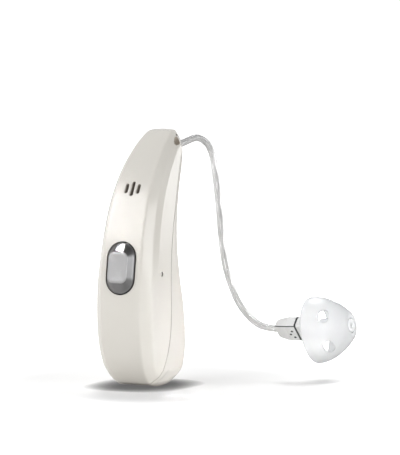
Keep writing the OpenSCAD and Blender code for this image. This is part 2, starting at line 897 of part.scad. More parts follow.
// The jacket with its bore, as one skin
module lead_pipe(outer_r, inner_r) {
    points = lead_points();
    rings = len(points);
    half = rings * lead_sides;
    ends = [0, (rings - 1) * lead_sides];
    polyhedron(
        points = [
            for (r = [outer_r, inner_r]) for (i = [0 : rings - 1]) each lead_ring(points, i, r)
        ],
        faces = [
            for (i = [0 : rings - 2]) for (k = [0 : lead_sides - 1])
                let (a = i * lead_sides + k, b = i * lead_sides + (k + 1) % lead_sides)
                each [
                    [a, b, a + lead_sides], [b, b + lead_sides, a + lead_sides],
                    [half + a, half + a + lead_sides, half + b],
                    [half + b, half + a + lead_sides, half + b + lead_sides]
                ],
            for (k = [0 : lead_sides - 1])
                let (n = (k + 1) % lead_sides)
                each [
                    [k, half + k, n], [n, half + k, half + n],
                    [ends[1] + k, ends[1] + n, half + ends[1] + k],
                    [ends[1] + n, half + ends[1] + n, half + ends[1] + k]
                ]
        ]
    );
}

module wire_conductors() {
    color(steel) seated() lead_tube(wire_bore / 2 - conductor_gap);
}

// The receiver's cross-section, its sharp edge to the front and its back rounded off
module case_section(grow) {
    w = receiver_w + 2 * grow;
    t = receiver_t + 2 * grow;
    round_r = case_broad_r + grow;
    rotate(receiver_roll) difference() {
        rounded(t, w, case_corner_r);
        translate([t / 2 - round_r, w / 2 - round_r])
            difference() {
                square(round_r + over);
                circle(round_r);
            }
    }
}

// A slice of the receiver's case, from one place along it to another
module case_slice(from, to, grow) {
    translate([from, 0, 0]) rotate([90, 0, 90]) linear_extrude(height = to - from) case_section(grow);
}

case_from = boot_l + case_end_gap;
case_to = case_from + rear_case_l;
front_from = case_to + gasket_t;
front_to = front_from + front_case_l;
// The seam's height above the receiver's middle
seam_at = 0.42;

module receiver_boot() {
    color(pearl_grey) seated() at_receiver() hull() {
        rotate([0, 90, 0]) cylinder(r = boot_r, h = pad_t, $fn = 32);
        case_slice(boot_l * boot_bulge_share, boot_l * boot_bulge_share + pad_t, -boot_step, $fn = 32);
        case_slice(boot_l - pad_t, boot_l, 0, $fn = 32);
    }
}

module rear_case(above) {
    difference() {
        case_slice(case_from, case_to, 0);
        case_slice(case_from + receiver_wall, case_to + over, -receiver_wall);
        translate([0, -receiver_w, above ? seam_at - 2 * receiver_w : seam_at - seam_t])
            cube([front_to, 2 * receiver_w, 2 * receiver_w]);
    }
}

module receiver_upper_shell() {
    color(clear_grey) seated() at_receiver() rear_case(true);
}

module receiver_lower_shell() {
    color(pearl_grey) seated() at_receiver() rear_case(false);
}

module receiver_gasket() {
    color(dark) seated() at_receiver() {
        intersection() {
            difference() {
                case_slice(case_from, case_to, 0);
                case_slice(case_from - over, case_to + over, -receiver_wall);
            }
            translate([case_from, -receiver_w, seam_at - seam_t]) cube([rear_case_l, 2 * receiver_w, seam_t]);
        }
        difference() {
            case_slice(case_to, front_from, 0);
            case_slice(case_to - over, front_from + over, -receiver_wall);
        }
    }
}

module receiver_front_shell() {
    color(pearl_grey) seated() at_receiver()
        difference() {
            case_slice(front_from, front_to, 0);
            case_slice(front_from - over, front_to - receiver_wall, -receiver_wall);
        }
}

module receiver_driver() {
    color(steel) seated() at_receiver()
        translate([case_from + receiver_wall + driver_end_gap, 0, 0])
            rotate([90, 0, 90]) rotate(receiver_roll)
                linear_extrude(height = front_to - case_from - 2 * receiver_wall - 2 * driver_end_gap)
                    square([
                        receiver_t - 2 * receiver_wall - 2 * case_broad_r / 2,
                        receiver_w - 2 * receiver_wall - 2 * case_broad_r / 2
                    ], center = true);
}

module receiver_nozzle() {
    color(pearl_grey) seated() at_dome() translate([0, 0, nozzle_from])
        difference() {
            cylinder(r = nozzle_r, h = dome_l - nozzle_from - guard_t - rest_gap);
            translate([0, 0, nozzle_back]) cylinder(r = nozzle_bore_r, h = dome_l);
        }
}

module wax_guard() {
    top = dome_l;
    color("white") seated() at_dome() difference() {
        union() {
            translate([0, 0, top - guard_t]) cylinder(r = guard_r, h = guard_t);
            translate([0, 0, top - guard_t - guard_stem_l]) cylinder(r = guard_stem_r, h = guard_stem_l);
        }
        translate([0, 0, top - guard_t - guard_stem_l - over])
            cylinder(r = guard_hole_r, h = guard_t + guard_stem_l + 2 * over);
    }
}

// The bell's radius at a height above the rim
function bell_r(t) = tip_r + (rim_r - tip_r) * (1 - pow(clamp(t / dome_l, 0, 1), bell_power));

module ear_dome() {
    heights = [for (i = [0 : bell_steps]) dome_l * i / bell_steps];
    inner = [for (i = [0 : bell_steps - 1]) core_root * i / (bell_steps - 1)];
    bore_r = nozzle_r + dome_fit;
    color(silicone) seated() at_dome() difference() {
        rotate_extrude()
            polygon(concat(
                [for (t = heights) [bell_r(t), t]],
                [[bore_r, dome_l], [bore_r, core_from], [bore_r + core_wall, core_from]],
                [[bore_r + core_wall, core_root - skirt_t]],
                [for (i = [bell_steps - 2 : -1 : 0]) [bell_r(inner[i]) - skirt_t, inner[i]]]
            ));
        for (k = [0 : vents - 1])
            rotate([0, 0, vent_turn + 360 * k / vents])
                translate([0, 0, vent_at])
                    rotate([0, 90, 0])
                        translate([0, 0, bore_r + core_wall + rim_t])
                            linear_extrude(height = rim_r) stadium(vent_w, vent_l);
    }
}

front_shell();
rear_shell();
rocker_button();
button_seal();
rocker_pin();
upper_switch();
lower_switch();
circuit_board();
sound_processor();
radio_chip();
inner_frame();
frame_pin();
battery_cell();
battery_tabs();
charging_coil();
coil_ferrite();
antenna_strip();
flex_tail();
rear_microphone();
rear_mic_screen();
front_microphone();
front_mic_screen();
receiver_socket();
socket_contacts();
lead_plug();
plug_contacts();
wire_jacket();
wire_conductors();
receiver_boot();
receiver_upper_shell();
receiver_lower_shell();
receiver_gasket();
receiver_front_shell();
receiver_driver();
receiver_nozzle();
ear_dome();
wax_guard();
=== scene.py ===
"""Behind-the-ear hearing aid with its lead, receiver and ear dome, dressed for rendering.

Lengths are worked out in millimetres in the housing's own frame: X across the aid,
Y from the spine towards the ear, Z up from the foot. Every finished mesh is then moved
to the ear seat and turned into metres, which is the frame of the CAD model.
"""

import math

import bmesh
import bpy
from mathutils import Matrix, Vector


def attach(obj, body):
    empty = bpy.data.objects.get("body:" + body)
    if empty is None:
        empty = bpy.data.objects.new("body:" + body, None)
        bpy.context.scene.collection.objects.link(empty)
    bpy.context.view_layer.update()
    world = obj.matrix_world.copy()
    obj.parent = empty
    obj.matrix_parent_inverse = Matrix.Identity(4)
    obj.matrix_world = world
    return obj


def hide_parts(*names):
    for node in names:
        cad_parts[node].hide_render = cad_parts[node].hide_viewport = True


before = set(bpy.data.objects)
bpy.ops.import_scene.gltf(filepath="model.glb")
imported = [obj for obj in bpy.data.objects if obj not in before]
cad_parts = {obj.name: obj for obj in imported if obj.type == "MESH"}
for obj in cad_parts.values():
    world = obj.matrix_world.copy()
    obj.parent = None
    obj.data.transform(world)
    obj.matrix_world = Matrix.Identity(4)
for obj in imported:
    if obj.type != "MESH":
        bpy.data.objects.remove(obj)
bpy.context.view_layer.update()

MM = 0.001

# The housing's main sizes, as the part's source has them
BODY_H = 33.3
BODY_D = 13.6
BODY_W = 8.35
WALL = 0.8
CHAMFER = 1.25
SIDE_CROWN = 0.16
SEAM_GAP = 0.11
HALF_W = BODY_W / 2 - SIDE_CROWN

# The ear seat is the origin of the whole model
SEAT = Vector((0, 0.75 * BODY_D, 0.525 * BODY_H))
TO_SEAT = Matrix.Scale(MM, 4) @ Matrix.Translation(-SEAT)
FLOOR_Z = -SEAT.z * MM

# Stations up the housing: spine y, spine z, rear y, rear z, half width, half width of the spine face
STATIONS = [
    (0.463, 0.000, 0.463, 0.000, 0.800, 0.58),
    (0.310, 0.010, 0.635, 0.004, 0.825, 0.60),
    (0.180, 0.042, 0.780, 0.027, 0.870, 0.64),
    (0.095, 0.090, 0.855, 0.068, 0.930, 0.67),
    (0.043, 0.150, 0.880, 0.130, 0.980, 0.70),
    (0.012, 0.222, 0.872, 0.205, 1.000, 0.70),
    (0.000, 0.318, 0.832, 0.318, 1.000, 0.70),
    (0.010, 0.414, 0.775, 0.414, 0.988, 0.70),
    (0.045, 0.510, 0.748, 0.516, 0.970, 0.695),
    (0.096, 0.604, 0.758, 0.615, 0.942, 0.68),
    (0.180, 0.703, 0.798, 0.705, 0.902, 0.655),
    (0.287, 0.784, 0.860, 0.778, 0.852, 0.62),
    (0.420, 0.856, 0.934, 0.841, 0.797, 0.578),
    (0.603, 0.925, 0.985, 0.893, 0.735, 0.51),
    (0.800, 0.976, 0.998, 0.944, 0.675, 0.44),
    (0.915, 0.984, 0.915, 0.984, 0.640, 0.40),
]
MIDDLE_FIRST = 3
MIDDLE_LAST = 13
CHAMFER_LIMIT = 0.45
SPINE_INSET = 0.4

# The line where the two shells meet, seen from the side
PARTING = [
    (1.060, 1.100), (0.990, 0.985), (0.897, 0.922), (0.801, 0.862), (0.684, 0.769),
    (0.588, 0.670), (0.522, 0.577), (0.485, 0.492), (0.469, 0.402), (0.466, 0.306),
    (0.457, 0.230), (0.434, 0.173), (0.396, 0.116), (0.347, 0.063), (0.282, 0.021),
    (0.190, -0.030),
]

# The lead's route from the plug to the receiver, in the housing's frame
LEAD_ROUTE = [
    (0, 14.4145, 30.0801), (0, 16, 30.5), (0, 17.9, 30.7), (0, 21.6, 31.1), (0, 24.4, 30.3),
    (0, 25.8, 29.1), (0.3, 26, 27.7), (0.6, 25.8, 26.4), (1.2, 25.2, 24.4),
    (2, 24.2, 21.9), (3, 22.9, 18.2), (4.1, 22, 14.2), (5.4, 21.6, 11.2),
    (6.6, 21.2, 9.4), (8.1, 21.1, 7.8), (9.6, 21, 6.9), (11, 21, 6.55), (12.2, 21, 6.5),
]
LEAD_D = 0.9


def on_spine(y, z, lean):
    """A frame on the spine: local Z points out of the shell, local Y runs up the spine."""
    return Matrix.Translation((0, y, z)) @ Matrix.Rotation(math.radians(90 - lean), 4, "X")


PLUG_LEAN = 12

AT_ROCKER = on_spine(0.024 * BODY_D, 0.4715 * BODY_H, 9)
AT_SLOTS = on_spine(0.268 * BODY_D, 0.7705 * BODY_H, 29)
AT_PLUG = Matrix.Translation((0, 0.993 * BODY_D, 0.8975 * BODY_H)) @ Matrix.Rotation(
    math.radians(PLUG_LEAN - 90), 4, "X"
)
AT_RECEIVER = Matrix.Translation((12.25, 20.95, 6.6)) @ Matrix.Rotation(math.radians(-3), 4, "Y")
AT_DOME = Matrix.Translation((17.55, 21, 6.54)) @ Matrix.Rotation(math.radians(80), 4, "Y")
AT_FRAME_PIN = Matrix.Translation((0, 0.287 * BODY_D, 0.4445 * BODY_H))


# Camera

AIM = Vector((8.325, 6.284, 20.78))
AZIMUTH = math.radians(27)
ELEVATION = math.radians(5)
DISTANCE = 600
PICTURE_H = 58.24
SENSOR = 36

camera = bpy.data.objects.new("camera", bpy.data.cameras.new("camera"))
bpy.context.collection.objects.link(camera)
back = Vector((
    math.sin(AZIMUTH) * math.cos(ELEVATION),
    -math.cos(AZIMUTH) * math.cos(ELEVATION),
    math.sin(ELEVATION),
))
camera.location = TO_SEAT @ (AIM + back * DISTANCE)
camera.rotation_mode = "QUATERNION"
camera.rotation_quaternion = (-back).to_track_quat("-Z", "Y")
camera.data.sensor_width = SENSOR
camera.data.lens = SENSOR * DISTANCE / PICTURE_H
camera.data.clip_start = 0.01
camera.data.clip_end = 20
bpy.context.scene.camera = camera
bpy.context.scene.view_settings.view_transform = "Standard"


# Curves through rows of numbers

def curve(rows, steps):
    """A smooth curve through rows of numbers, with so many steps between two of them."""
    made = []
    for i in range(len(rows) - 1):
        a, b, c, d = (rows[max(i - 1, 0)], rows[i], rows[i + 1], rows[min(i + 2, len(rows) - 1)])
        for k in range(steps):
            t = k / steps
            made.append(tuple(
                q + (r - p) * t / 2 + (2 * p - 5 * q + 4 * r - s) * t * t / 2
                + (3 * q - p - 3 * r + s) * t ** 3 / 2
                for p, q, r, s in zip(a, b, c, d)
            ))
    made.append(tuple(rows[-1]))
    return made


def bend(a, corner, b, steps):
    """Points of a soft corner from a to b."""
    points = []
    for i in range(steps + 1):
        t = i / steps
        points.append(tuple(
            p * (1 - t) ** 2 + 2 * q * t * (1 - t) + r * t * t for p, q, r in zip(a, corner, b)
        ))
    return points


def between(a, b, t):
    return tuple(p + (q - p) * t for p, q in zip(a, b))


# Mesh helpers

def first_ring(bm, places):
    ring = [bm.verts.new(p) for p in places]
    for i, vert in enumerate(ring):
        bm.edges.new((vert, ring[(i + 1) % len(ring)]))
    return ring


def next_ring(bm, ring, places):
    """Extrudes a ring of vertices and moves the new ring to its places."""
    edges = [bm.edges.get((vert, ring[(i + 1) % len(ring)])) for i, vert in enumerate(ring)]
    made = bmesh.ops.extrude_edge_only(bm, edges=edges)["geom"]
    fresh = {item for item in made if isinstance(item, bmesh.types.BMVert)}
    grown = []
    for vert, place in zip(ring, places):
        other = next(e.other_vert(vert) for e in vert.link_edges if e.other_vert(vert) in fresh)
        other.co = place
        grown.append(other)
    return grown


def loft(rings, close=True):
    """Rings of points of one count, skinned in turn. The ends are filled where close is set."""
    bm = bmesh.new()
    ring = first_ring(bm, rings[0])
    start = ring
    for places in rings[1:]:
        ring = next_ring(bm, ring, places)
    if close:
        bm.faces.new(start)
        bm.faces.new(ring)
    return tidy(bm)


def tidy(bm, distance=1e-4):
    bmesh.ops.remove_doubles(bm, verts=bm.verts, dist=distance)
    bmesh.ops.dissolve_degenerate(bm, dist=distance, edges=bm.edges)
    bmesh.ops.recalc_face_normals(bm, faces=bm.faces)
    return bm


def moved(bm, matrix):
    bmesh.ops.transform(bm, matrix=matrix, verts=bm.verts)
    return bm


def joined(*meshes):
    """Several separate meshes as one."""
    whole = bmesh.new()
    for bm in meshes:
        part = bpy.data.meshes.new("part")
        bm.to_mesh(part)
        whole.from_mesh(part)
        bpy.data.meshes.remove(part)
        bm.free()
    return whole


def turned(profile, steps=48):
    """A profile of radius and height, spun round local Z. Points on the axis close by themselves."""
    bm = bmesh.new()
    verts = [bm.verts.new((r, 0, h)) for r, h in profile]
    edges = [bm.edges.new(pair) for pair in zip(verts, verts[1:])]
    bmesh.ops.spin(
        bm, geom=verts + edges, cent=(0, 0, 0), axis=(0, 0, 1), angle=math.tau, steps=steps,
        use_merge=True,
    )
    return tidy(bm)


def rounded_ring(width, length, radius, height, corner_steps=10):
    """A rounded rectangle at a height. A radius of half the width makes a stadium."""
    places = []
    for corner, (sx, sy) in enumerate([(1, 1), (-1, 1), (-1, -1), (1, -1)]):
        for i in range(corner_steps):
            angle = math.radians(90 * (corner + i / (corner_steps - 1)))
            places.append(Vector((
                sx * (width / 2 - radius) + radius * math.cos(angle),
                sy * (length / 2 - radius) + radius * math.sin(angle),
                height,
            )))
    return places


def stadium(width, length, height):
    return rounded_ring(width, length, width / 2 - 1e-3, height)


def mesh_object(name, bm):
    mesh = bpy.data.meshes.new(name)
    bm.to_mesh(mesh)
    bm.free()
    made = bpy.data.objects.new(name, mesh)
    bpy.context.collection.objects.link(made)
    return made


def combined(bm, cutter, operation):
    """The exact boolean of two closed meshes."""
    base = mesh_object("base", bm)
    tool = mesh_object("tool", cutter)
    step = base.modifiers.new("cut", "BOOLEAN")
    step.object = tool
    step.operation = operation
    step.solver = "EXACT"
    bpy.context.view_layer.update()
    result = bmesh.new()
    result.from_mesh(base.evaluated_get(bpy.context.evaluated_depsgraph_get()).data)
    for made in (base, tool):
        mesh = made.data
        bpy.data.objects.remove(made)
        bpy.data.meshes.remove(mesh)
    return result


def crease(bm, angle):
    """Smooth faces, with hard edges where two faces meet at more than an angle."""
    limit = math.radians(angle)
    for face in bm.faces:
        face.smooth = True
    for edge in bm.edges:
        edge.smooth = edge.calc_face_angle(0) < limit
    return bm


def piece(name, bm, material, body, place=None, angle=32, replaces=()):
    """Finishes a mesh as a piece of the model."""
    if place is not None:
        moved(bm, place)
    moved(bm, TO_SEAT)
    crease(bm, angle)
    made = mesh_object(name, bm)
    made.data.materials.append(material)
    return settle(made, body, replaces)


def settle(made, body, replaces=()):
    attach(made, body)
    if replaces:
        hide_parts(*replaces)
    return made


# Material helpers

def socket_values(node, values):
    for name, value in values.items():
        node.inputs[name].default_value = value


def colour(red, green, blue):
    """A colour as it is seen on a screen, from 0 to 255, turned into the shader's own scale."""
    made = []
    for part in (red, green, blue):
        share = part / 255
        made.append(share / 12.92 if share <= 0.04045 else ((share + 0.055) / 1.055) ** 2.4)
    return (*made, 1)


def new_group(name, inputs, outputs):
    group = bpy.data.node_groups.new(name, "ShaderNodeTree")
    for label, kind, value in inputs:
        made = group.interface.new_socket(label, in_out="INPUT", socket_type=kind)
        made.default_value = value
    for label, kind in outputs:
        group.interface.new_socket(label, in_out="OUTPUT", socket_type=kind)
    return group, group.nodes.new("NodeGroupInput"), group.nodes.new("NodeGroupOutput")


FLOAT = "NodeSocketFloat"
COLOUR = "NodeSocketColor"
VECTOR = "NodeSocketVector"


def noise(nodes, links, vector, scale, detail=2.0):
    made = nodes.new("ShaderNodeTexNoise")
    made.inputs["Detail"].default_value = detail
    links.new(vector, made.inputs["Vector"])
    if isinstance(scale, (int, float)):
        made.inputs["Scale"].default_value = scale
    else:
        links.new(scale, made.inputs["Scale"])
    return made.outputs["Fac"]


def spread(nodes, links, source, low, high):
    """A value from 0 to 1, spread between two others."""
    made = nodes.new("ShaderNodeMapRange")
    made.inputs["From Min"].default_value = 0.3
    made.inputs["From Max"].default_value = 0.7
    links.new(source, made.inputs["Value"])
    for name, value in (("To Min", low), ("To Max", high)):
        if isinstance(value, (int, float)):
            made.inputs[name].default_value = value
        else:
            links.new(value, made.inputs[name])
    return made.outputs["Result"]


def maths(nodes, links, kind, first, second):
    made = nodes.new("ShaderNodeMath")
    made.operation = kind
    for i, value in enumerate((first, second)):
        if isinstance(value, (int, float)):
            made.inputs[i].default_value = value
        else:
            links.new(value, made.inputs[i])
    return made.outputs[0]


def mixed(nodes, links, factor, first, second):
    made = nodes.new("ShaderNodeMix")
    made.data_type = "RGBA"
    for socket, value in ((made.inputs[0], factor), (made.inputs[6], first), (made.inputs[7], second)):
        if isinstance(value, (int, float, tuple)):
            socket.default_value = value
        else:
            links.new(value, socket)
    return made.outputs[2]


def moulding_group():
    """Moulded skin: slow colour drift, faint handling marks in the gloss, a fine grain."""
    group, take, give = new_group(
        "moulded_skin",
        [
            ("Vector", VECTOR, (0, 0, 0)), ("Colour", COLOUR, (0.8, 0.8, 0.8, 1)),
            ("Drift", COLOUR, (0.7, 0.7, 0.7, 1)), ("Roughness", FLOAT, 0.3),
            ("Marks", FLOAT, 0.08), ("Scale", FLOAT, 300.0),
        ],
        [("Colour", COLOUR), ("Roughness", FLOAT), ("Height", FLOAT)],
    )
    nodes, links = group.nodes, group.links
    vector = take.outputs["Vector"]
    drift = spread(nodes, links, noise(nodes, links, vector, take.outputs["Scale"], 3), 0.0, 1.0)
    links.new(
        mixed(nodes, links, drift, take.outputs["Colour"], take.outputs["Drift"]),
        give.inputs["Colour"],
    )
    fine_scale = maths(nodes, links, "MULTIPLY", take.outputs["Scale"], 9.0)
    smear = noise(nodes, links, vector, fine_scale, 4)
    low = maths(nodes, links, "SUBTRACT", take.outputs["Roughness"], take.outputs["Marks"])
    high = maths(nodes, links, "ADD", take.outputs["Roughness"], take.outputs["Marks"])
    links.new(spread(nodes, links, smear, low, high), give.inputs["Roughness"])
    grain_scale = maths(nodes, links, "MULTIPLY", take.outputs["Scale"], 24.0)
    links.new(noise(nodes, links, vector, grain_scale, 2), give.inputs["Height"])
    return group


def painted_shade_nodes():
    """Painted shade: darkens a colour towards a shade colour in grooves and under edges, where ambient
    occlusion finds surfaces within the reach.
    """
    group, take, give = new_group(
        "painted_shade_in_grooves",
        [("Colour", COLOUR, (0.8, 0.8, 0.8, 1)), ("Shade", COLOUR, (0.3, 0.3, 0.3, 1)),
         ("Reach", FLOAT, 0.0005), ("Amount", FLOAT, 0.5)],
        [("Colour", COLOUR)],
    )
    nodes, links = group.nodes, group.links
    hidden = nodes.new("ShaderNodeAmbientOcclusion")
    hidden.samples = 8
    links.new(take.outputs["Reach"], hidden.inputs["Distance"])
    open_share = maths(nodes, links, "SUBTRACT", 1.0, hidden.outputs["AO"])
    factor = maths(nodes, links, "MULTIPLY", open_share, take.outputs["Amount"])
    links.new(
        mixed(nodes, links, factor, take.outputs["Colour"], take.outputs["Shade"]),
        give.inputs["Colour"],
    )
    return group


def mesh_group():
    """Woven screen: crossed threads with dark holes between them."""
    group, take, give = new_group(
        "woven_screen",
        [("Vector", VECTOR, (0, 0, 0)), ("Thread", COLOUR, (0.2, 0.18, 0.16, 1)),
         ("Hole", COLOUR, (0.02, 0.02, 0.02, 1)), ("Scale", FLOAT, 9000.0)],
        [("Colour", COLOUR), ("Height", FLOAT)],
    )
    nodes, links = group.nodes, group.links
    waves = []
    for axis in ("X", "Z"):
        wave = nodes.new("ShaderNodeTexWave")
        wave.bands_direction = axis
        links.new(take.outputs["Vector"], wave.inputs["Vector"])
        links.new(take.outputs["Scale"], wave.inputs["Scale"])
        waves.append(wave.outputs["Fac"])
    threads = maths(nodes, links, "MAXIMUM", *waves)
    links.new(
        mixed(nodes, links, threads, take.outputs["Hole"], take.outputs["Thread"]),
        give.inputs["Colour"],
    )
    links.new(threads, give.inputs["Height"])
    return group


MOULDED = moulding_group()
PAINTED_SHADE = painted_shade_nodes()
WOVEN = mesh_group()


def start_material(name):
    material = bpy.data.materials.new(name)
    material.use_nodes = True
    nodes, links = material.node_tree.nodes, material.node_tree.links
    shader = next(n for n in nodes if n.type == "BSDF_PRINCIPLED")
    place = nodes.new("ShaderNodeTexCoord").outputs["Object"]
    return material, nodes, links, shader, place


def add_group(nodes, group, values):
    made = nodes.new("ShaderNodeGroup")
    made.node_tree = group
    socket_values(made, values)
    return made


def add_bump(nodes, links, shader, height, strength, distance):
    bump = nodes.new("ShaderNodeBump")
    bump.inputs["Strength"].default_value = strength
    bump.inputs["Distance"].default_value = distance
    links.new(height, bump.inputs["Height"])
    links.new(bump.outputs["Normal"], shader.inputs["Normal"])
    return bump


def moulded(name, base, drift, roughness, marks=0.05, scale=250, grain=0.0, grain_depth=2e-6,
            shade=None, reach=0.0004, amount=0.6, **shader_values):
    """A moulded or plated finish. A shade colour, where given, adds painted shade in grooves and under
    edges.
    """
    material, nodes, links, shader, place = start_material(name)
    skin = add_group(nodes, MOULDED, {
        "Colour": base, "Drift": drift, "Roughness": roughness, "Marks": marks, "Scale": scale,
    })
    links.new(place, skin.inputs["Vector"])
    tone = skin.outputs["Colour"]
    # Painted shade: the colour darkens towards the shade colour in grooves and under edges.
    if shade is not None:
        groove = add_group(nodes, PAINTED_SHADE, {"Shade": shade, "Reach": reach, "Amount": amount})
        links.new(tone, groove.inputs["Colour"])
        tone = groove.outputs["Colour"]
    links.new(tone, shader.inputs["Base Color"])
    links.new(skin.outputs["Roughness"], shader.inputs["Roughness"])
    if grain:
        add_bump(nodes, links, shader, skin.outputs["Height"], grain, grain_depth)
    for label, value in shader_values.items():
        shader.inputs[label.replace("_", " ")].default_value = value
    return material


def let_lamps_through(material, tint):
    """Lamps and soft light pass a clear piece and are only tinted by it."""
    nodes, links = material.node_tree.nodes, material.node_tree.links
    shader = next(n for n in nodes if n.type == "BSDF_PRINCIPLED")
    output = next(n for n in nodes if n.type == "OUTPUT_MATERIAL")
    path = nodes.new("ShaderNodeLightPath")
    clear = nodes.new("ShaderNodeBsdfTransparent")
    clear.inputs["Color"].default_value = tint
    both = nodes.new("ShaderNodeMixShader")
    lit = maths(nodes, links, "MAXIMUM", path.outputs["Is Shadow Ray"], path.outputs["Is Diffuse Ray"])
    links.new(lit, both.inputs[0])
    links.new(shader.outputs[0], both.inputs[1])
    links.new(clear.outputs[0], both.inputs[2])
    links.new(both.outputs[0], output.inputs["Surface"])
    return material


def painted_rim_shade(material, rim, blend):
    """Painted shade: darkens a clear piece towards its edges, standing in for the darker surroundings
    seen through it there.
    """
    nodes, links = material.node_tree.nodes, material.node_tree.links
    shader = next(n for n in nodes if n.type == "BSDF_PRINCIPLED")
    tone = shader.inputs["Base Color"].links[0].from_socket
    weight = nodes.new("ShaderNodeLayerWeight")
    weight.inputs["Blend"].default_value = blend
    links.new(mixed(nodes, links, weight.outputs["Facing"], tone, rim), shader.inputs["Base Color"])
    return material


def woven(name, thread, hole, scale):
    material, nodes, links, shader, place = start_material(name)
    screen = add_group(nodes, WOVEN, {"Thread": thread, "Hole": hole, "Scale": scale})
    links.new(place, screen.inputs["Vector"])
    links.new(screen.outputs["Colour"], shader.inputs["Base Color"])
    shader.inputs["Roughness"].default_value = 0.6
    add_bump(nodes, links, shader, screen.outputs["Height"], 0.5, 1e-5)
    return material


# The shells' shade colour adds painted shade in the seam, the slots, the inlets and under edges.
PEARL = moulded(
    "pearl_shell", colour(233, 230, 223), colour(228, 224, 216), 0.24, marks=0.006, scale=90,
    shade=colour(104, 92, 78), reach=0.0007, amount=0.85,
    Coat_Weight=0.5, Coat_Roughness=0.16, Specular_IOR_Level=0.5,
)
PEARL_REAR = moulded(
    "pearl_rear", colour(231, 228, 221), colour(226, 222, 214), 0.25, marks=0.006, scale=90,
    shade=colour(104, 92, 78), reach=0.0007, amount=0.85,
    Coat_Weight=0.5, Coat_Roughness=0.16, Specular_IOR_Level=0.5,
)
# Painted shade: a darker pearl for the faces inside the scooped inlets, standing in for the shade in
# these recesses.
INLET_PAINTED_SHADE = moulded(
    "inlet_painted_shade_pearl", colour(172, 161, 148), colour(164, 154, 141), 0.4, marks=0.01, scale=90,
    shade=colour(60, 50, 42), reach=0.0009, amount=0.9,
)
# The rocker's shade colour adds painted shade under its edges and in its gap.
ROCKER_GREY = moulded(
    "rocker_grey", colour(130, 130, 131), colour(127, 127, 128), 0.3, marks=0.01, scale=200,
    shade=colour(70, 70, 72), reach=0.0003, amount=0.4, Metallic=0.9,
)
ROCKER_PAD = moulded(
    "rocker_pad", colour(180, 180, 181), colour(177, 177, 178), 0.34, marks=0.01, scale=200,
    Metallic=0.3,
)
SEAL_DARK = moulded(
    "seal_dark", colour(58, 57, 56), colour(48, 47, 46), 0.7, grain=0.3, grain_depth=8e-6,
)
SCREEN = woven("screen_weave", colour(146, 134, 123), colour(84, 75, 67), 5200)
STEEL = moulded(
    "pin_steel", colour(150, 150, 152), colour(130, 130, 132), 0.32, marks=0.1, Metallic=1.0,
)
PIN_PALE = moulded("pin_grey", colour(232, 230, 225), colour(222, 220, 215), 0.4)
SWITCH_STEEL = moulded("switch_steel", colour(196, 198, 202), colour(180, 182, 186), 0.28, Metallic=1.0)
BOARD = moulded("board_mask", colour(38, 92, 66), colour(24, 70, 50), 0.42, grain=0.2, scale=900)
CHIP = moulded("chip_resin", colour(46, 46, 48), colour(34, 34, 36), 0.55, grain=0.4, scale=1200)
FRAME = moulded("frame_plastic", colour(196, 195, 191), colour(182, 181, 177), 0.5, grain=0.3)
CELL = moulded("cell_steel", colour(200, 202, 206), colour(186, 188, 192), 0.25, Metallic=1.0)
GOLD = moulded("contact_gold", colour(232, 196, 112), colour(214, 172, 84), 0.24, Metallic=1.0)
COPPER = moulded(
    "copper_winding", colour(202, 128, 88), colour(178, 100, 62), 0.34, Metallic=0.9, grain=0.3,
)
PLUG = moulded("plug_plastic", colour(214, 213, 210), colour(204, 203, 200), 0.35)
CONDUCTOR = moulded(
    "tinned_wire", colour(236, 236, 236), colour(226, 226, 226), 0.3, marks=0.03, scale=500,
    Metallic=0.25,
)
BOOT = moulded(
    "boot_plastic", colour(236, 236, 236), colour(232, 232, 232), 0.3, marks=0.02,
    Coat_Weight=0.2, Coat_Roughness=0.1,
)
CASE = moulded(
    "case_plastic", colour(242, 242, 242), colour(238, 238, 238), 0.26, marks=0.02,
    Coat_Weight=0.3, Coat_Roughness=0.1,
)
# Dark colour of the gasket and the boot's joint line, also used as painted shade inside the case's dot
# holes.
DARK_JOINT_AND_HOLE_SHADE = moulded("dark_joint_and_hole_shade", colour(74, 76, 76), colour(60, 62, 62), 0.5)
GUARD = moulded("guard_white", colour(238, 240, 241), colour(230, 232, 233), 0.3, marks=0.04)
# The lead and the dome get painted shade towards their edges, through the rim colour.
JACKET = let_lamps_through(painted_rim_shade(moulded(
    "clear_jacket", colour(250, 250, 250), colour(247, 247, 247), 0.12, marks=0.01,
    Transmission_Weight=0.78, IOR=1.35,
), colour(56, 57, 58), 0.34), colour(246, 246, 246))
SILICONE = let_lamps_through(painted_rim_shade(moulded(
    "silicone_dome", colour(246, 247, 248), colour(242, 243, 244), 0.24, marks=0.02,
    Transmission_Weight=0.42, IOR=1.40,
), colour(176, 179, 182), 0.2), colour(242, 243, 244))


# The lead comes first: a preformed clear lead with two twisted conductors

def placed_curve(name, lines, radius, material, sides=6):
    data = bpy.data.curves.new(name, "CURVE")
    data.dimensions = "3D"
    data.bevel_depth = radius * MM
    data.bevel_resolution = sides
    data.use_fill_caps = True
    data.twist_mode = "MINIMUM"
    for line in lines:
        spline = data.splines.new("POLY")
        spline.points.add(len(line) - 1)
        for point, place in zip(spline.points, line):
            point.co = (*(TO_SEAT @ Vector(place)), 1)
    made = bpy.data.objects.new(name, data)
    bpy.context.collection.objects.link(made)
    data.materials.append(material)
    return made


def frames_along(line):
    """Directions across a line that turn as little as they can from point to point."""
    places = [Vector(p) for p in line]
    ahead = [
        (places[min(i + 1, len(places) - 1)] - places[max(i - 1, 0)]).normalized()
        for i in range(len(places))
    ]
    side = ahead[0].orthogonal().normalized()
    made = []
    for i, along in enumerate(ahead):
        if i:
            side = ahead[i - 1].rotation_difference(along) @ side
        side = (side - along * side.dot(along)).normalized()
        made.append((places[i], side, along.cross(side)))
    return made


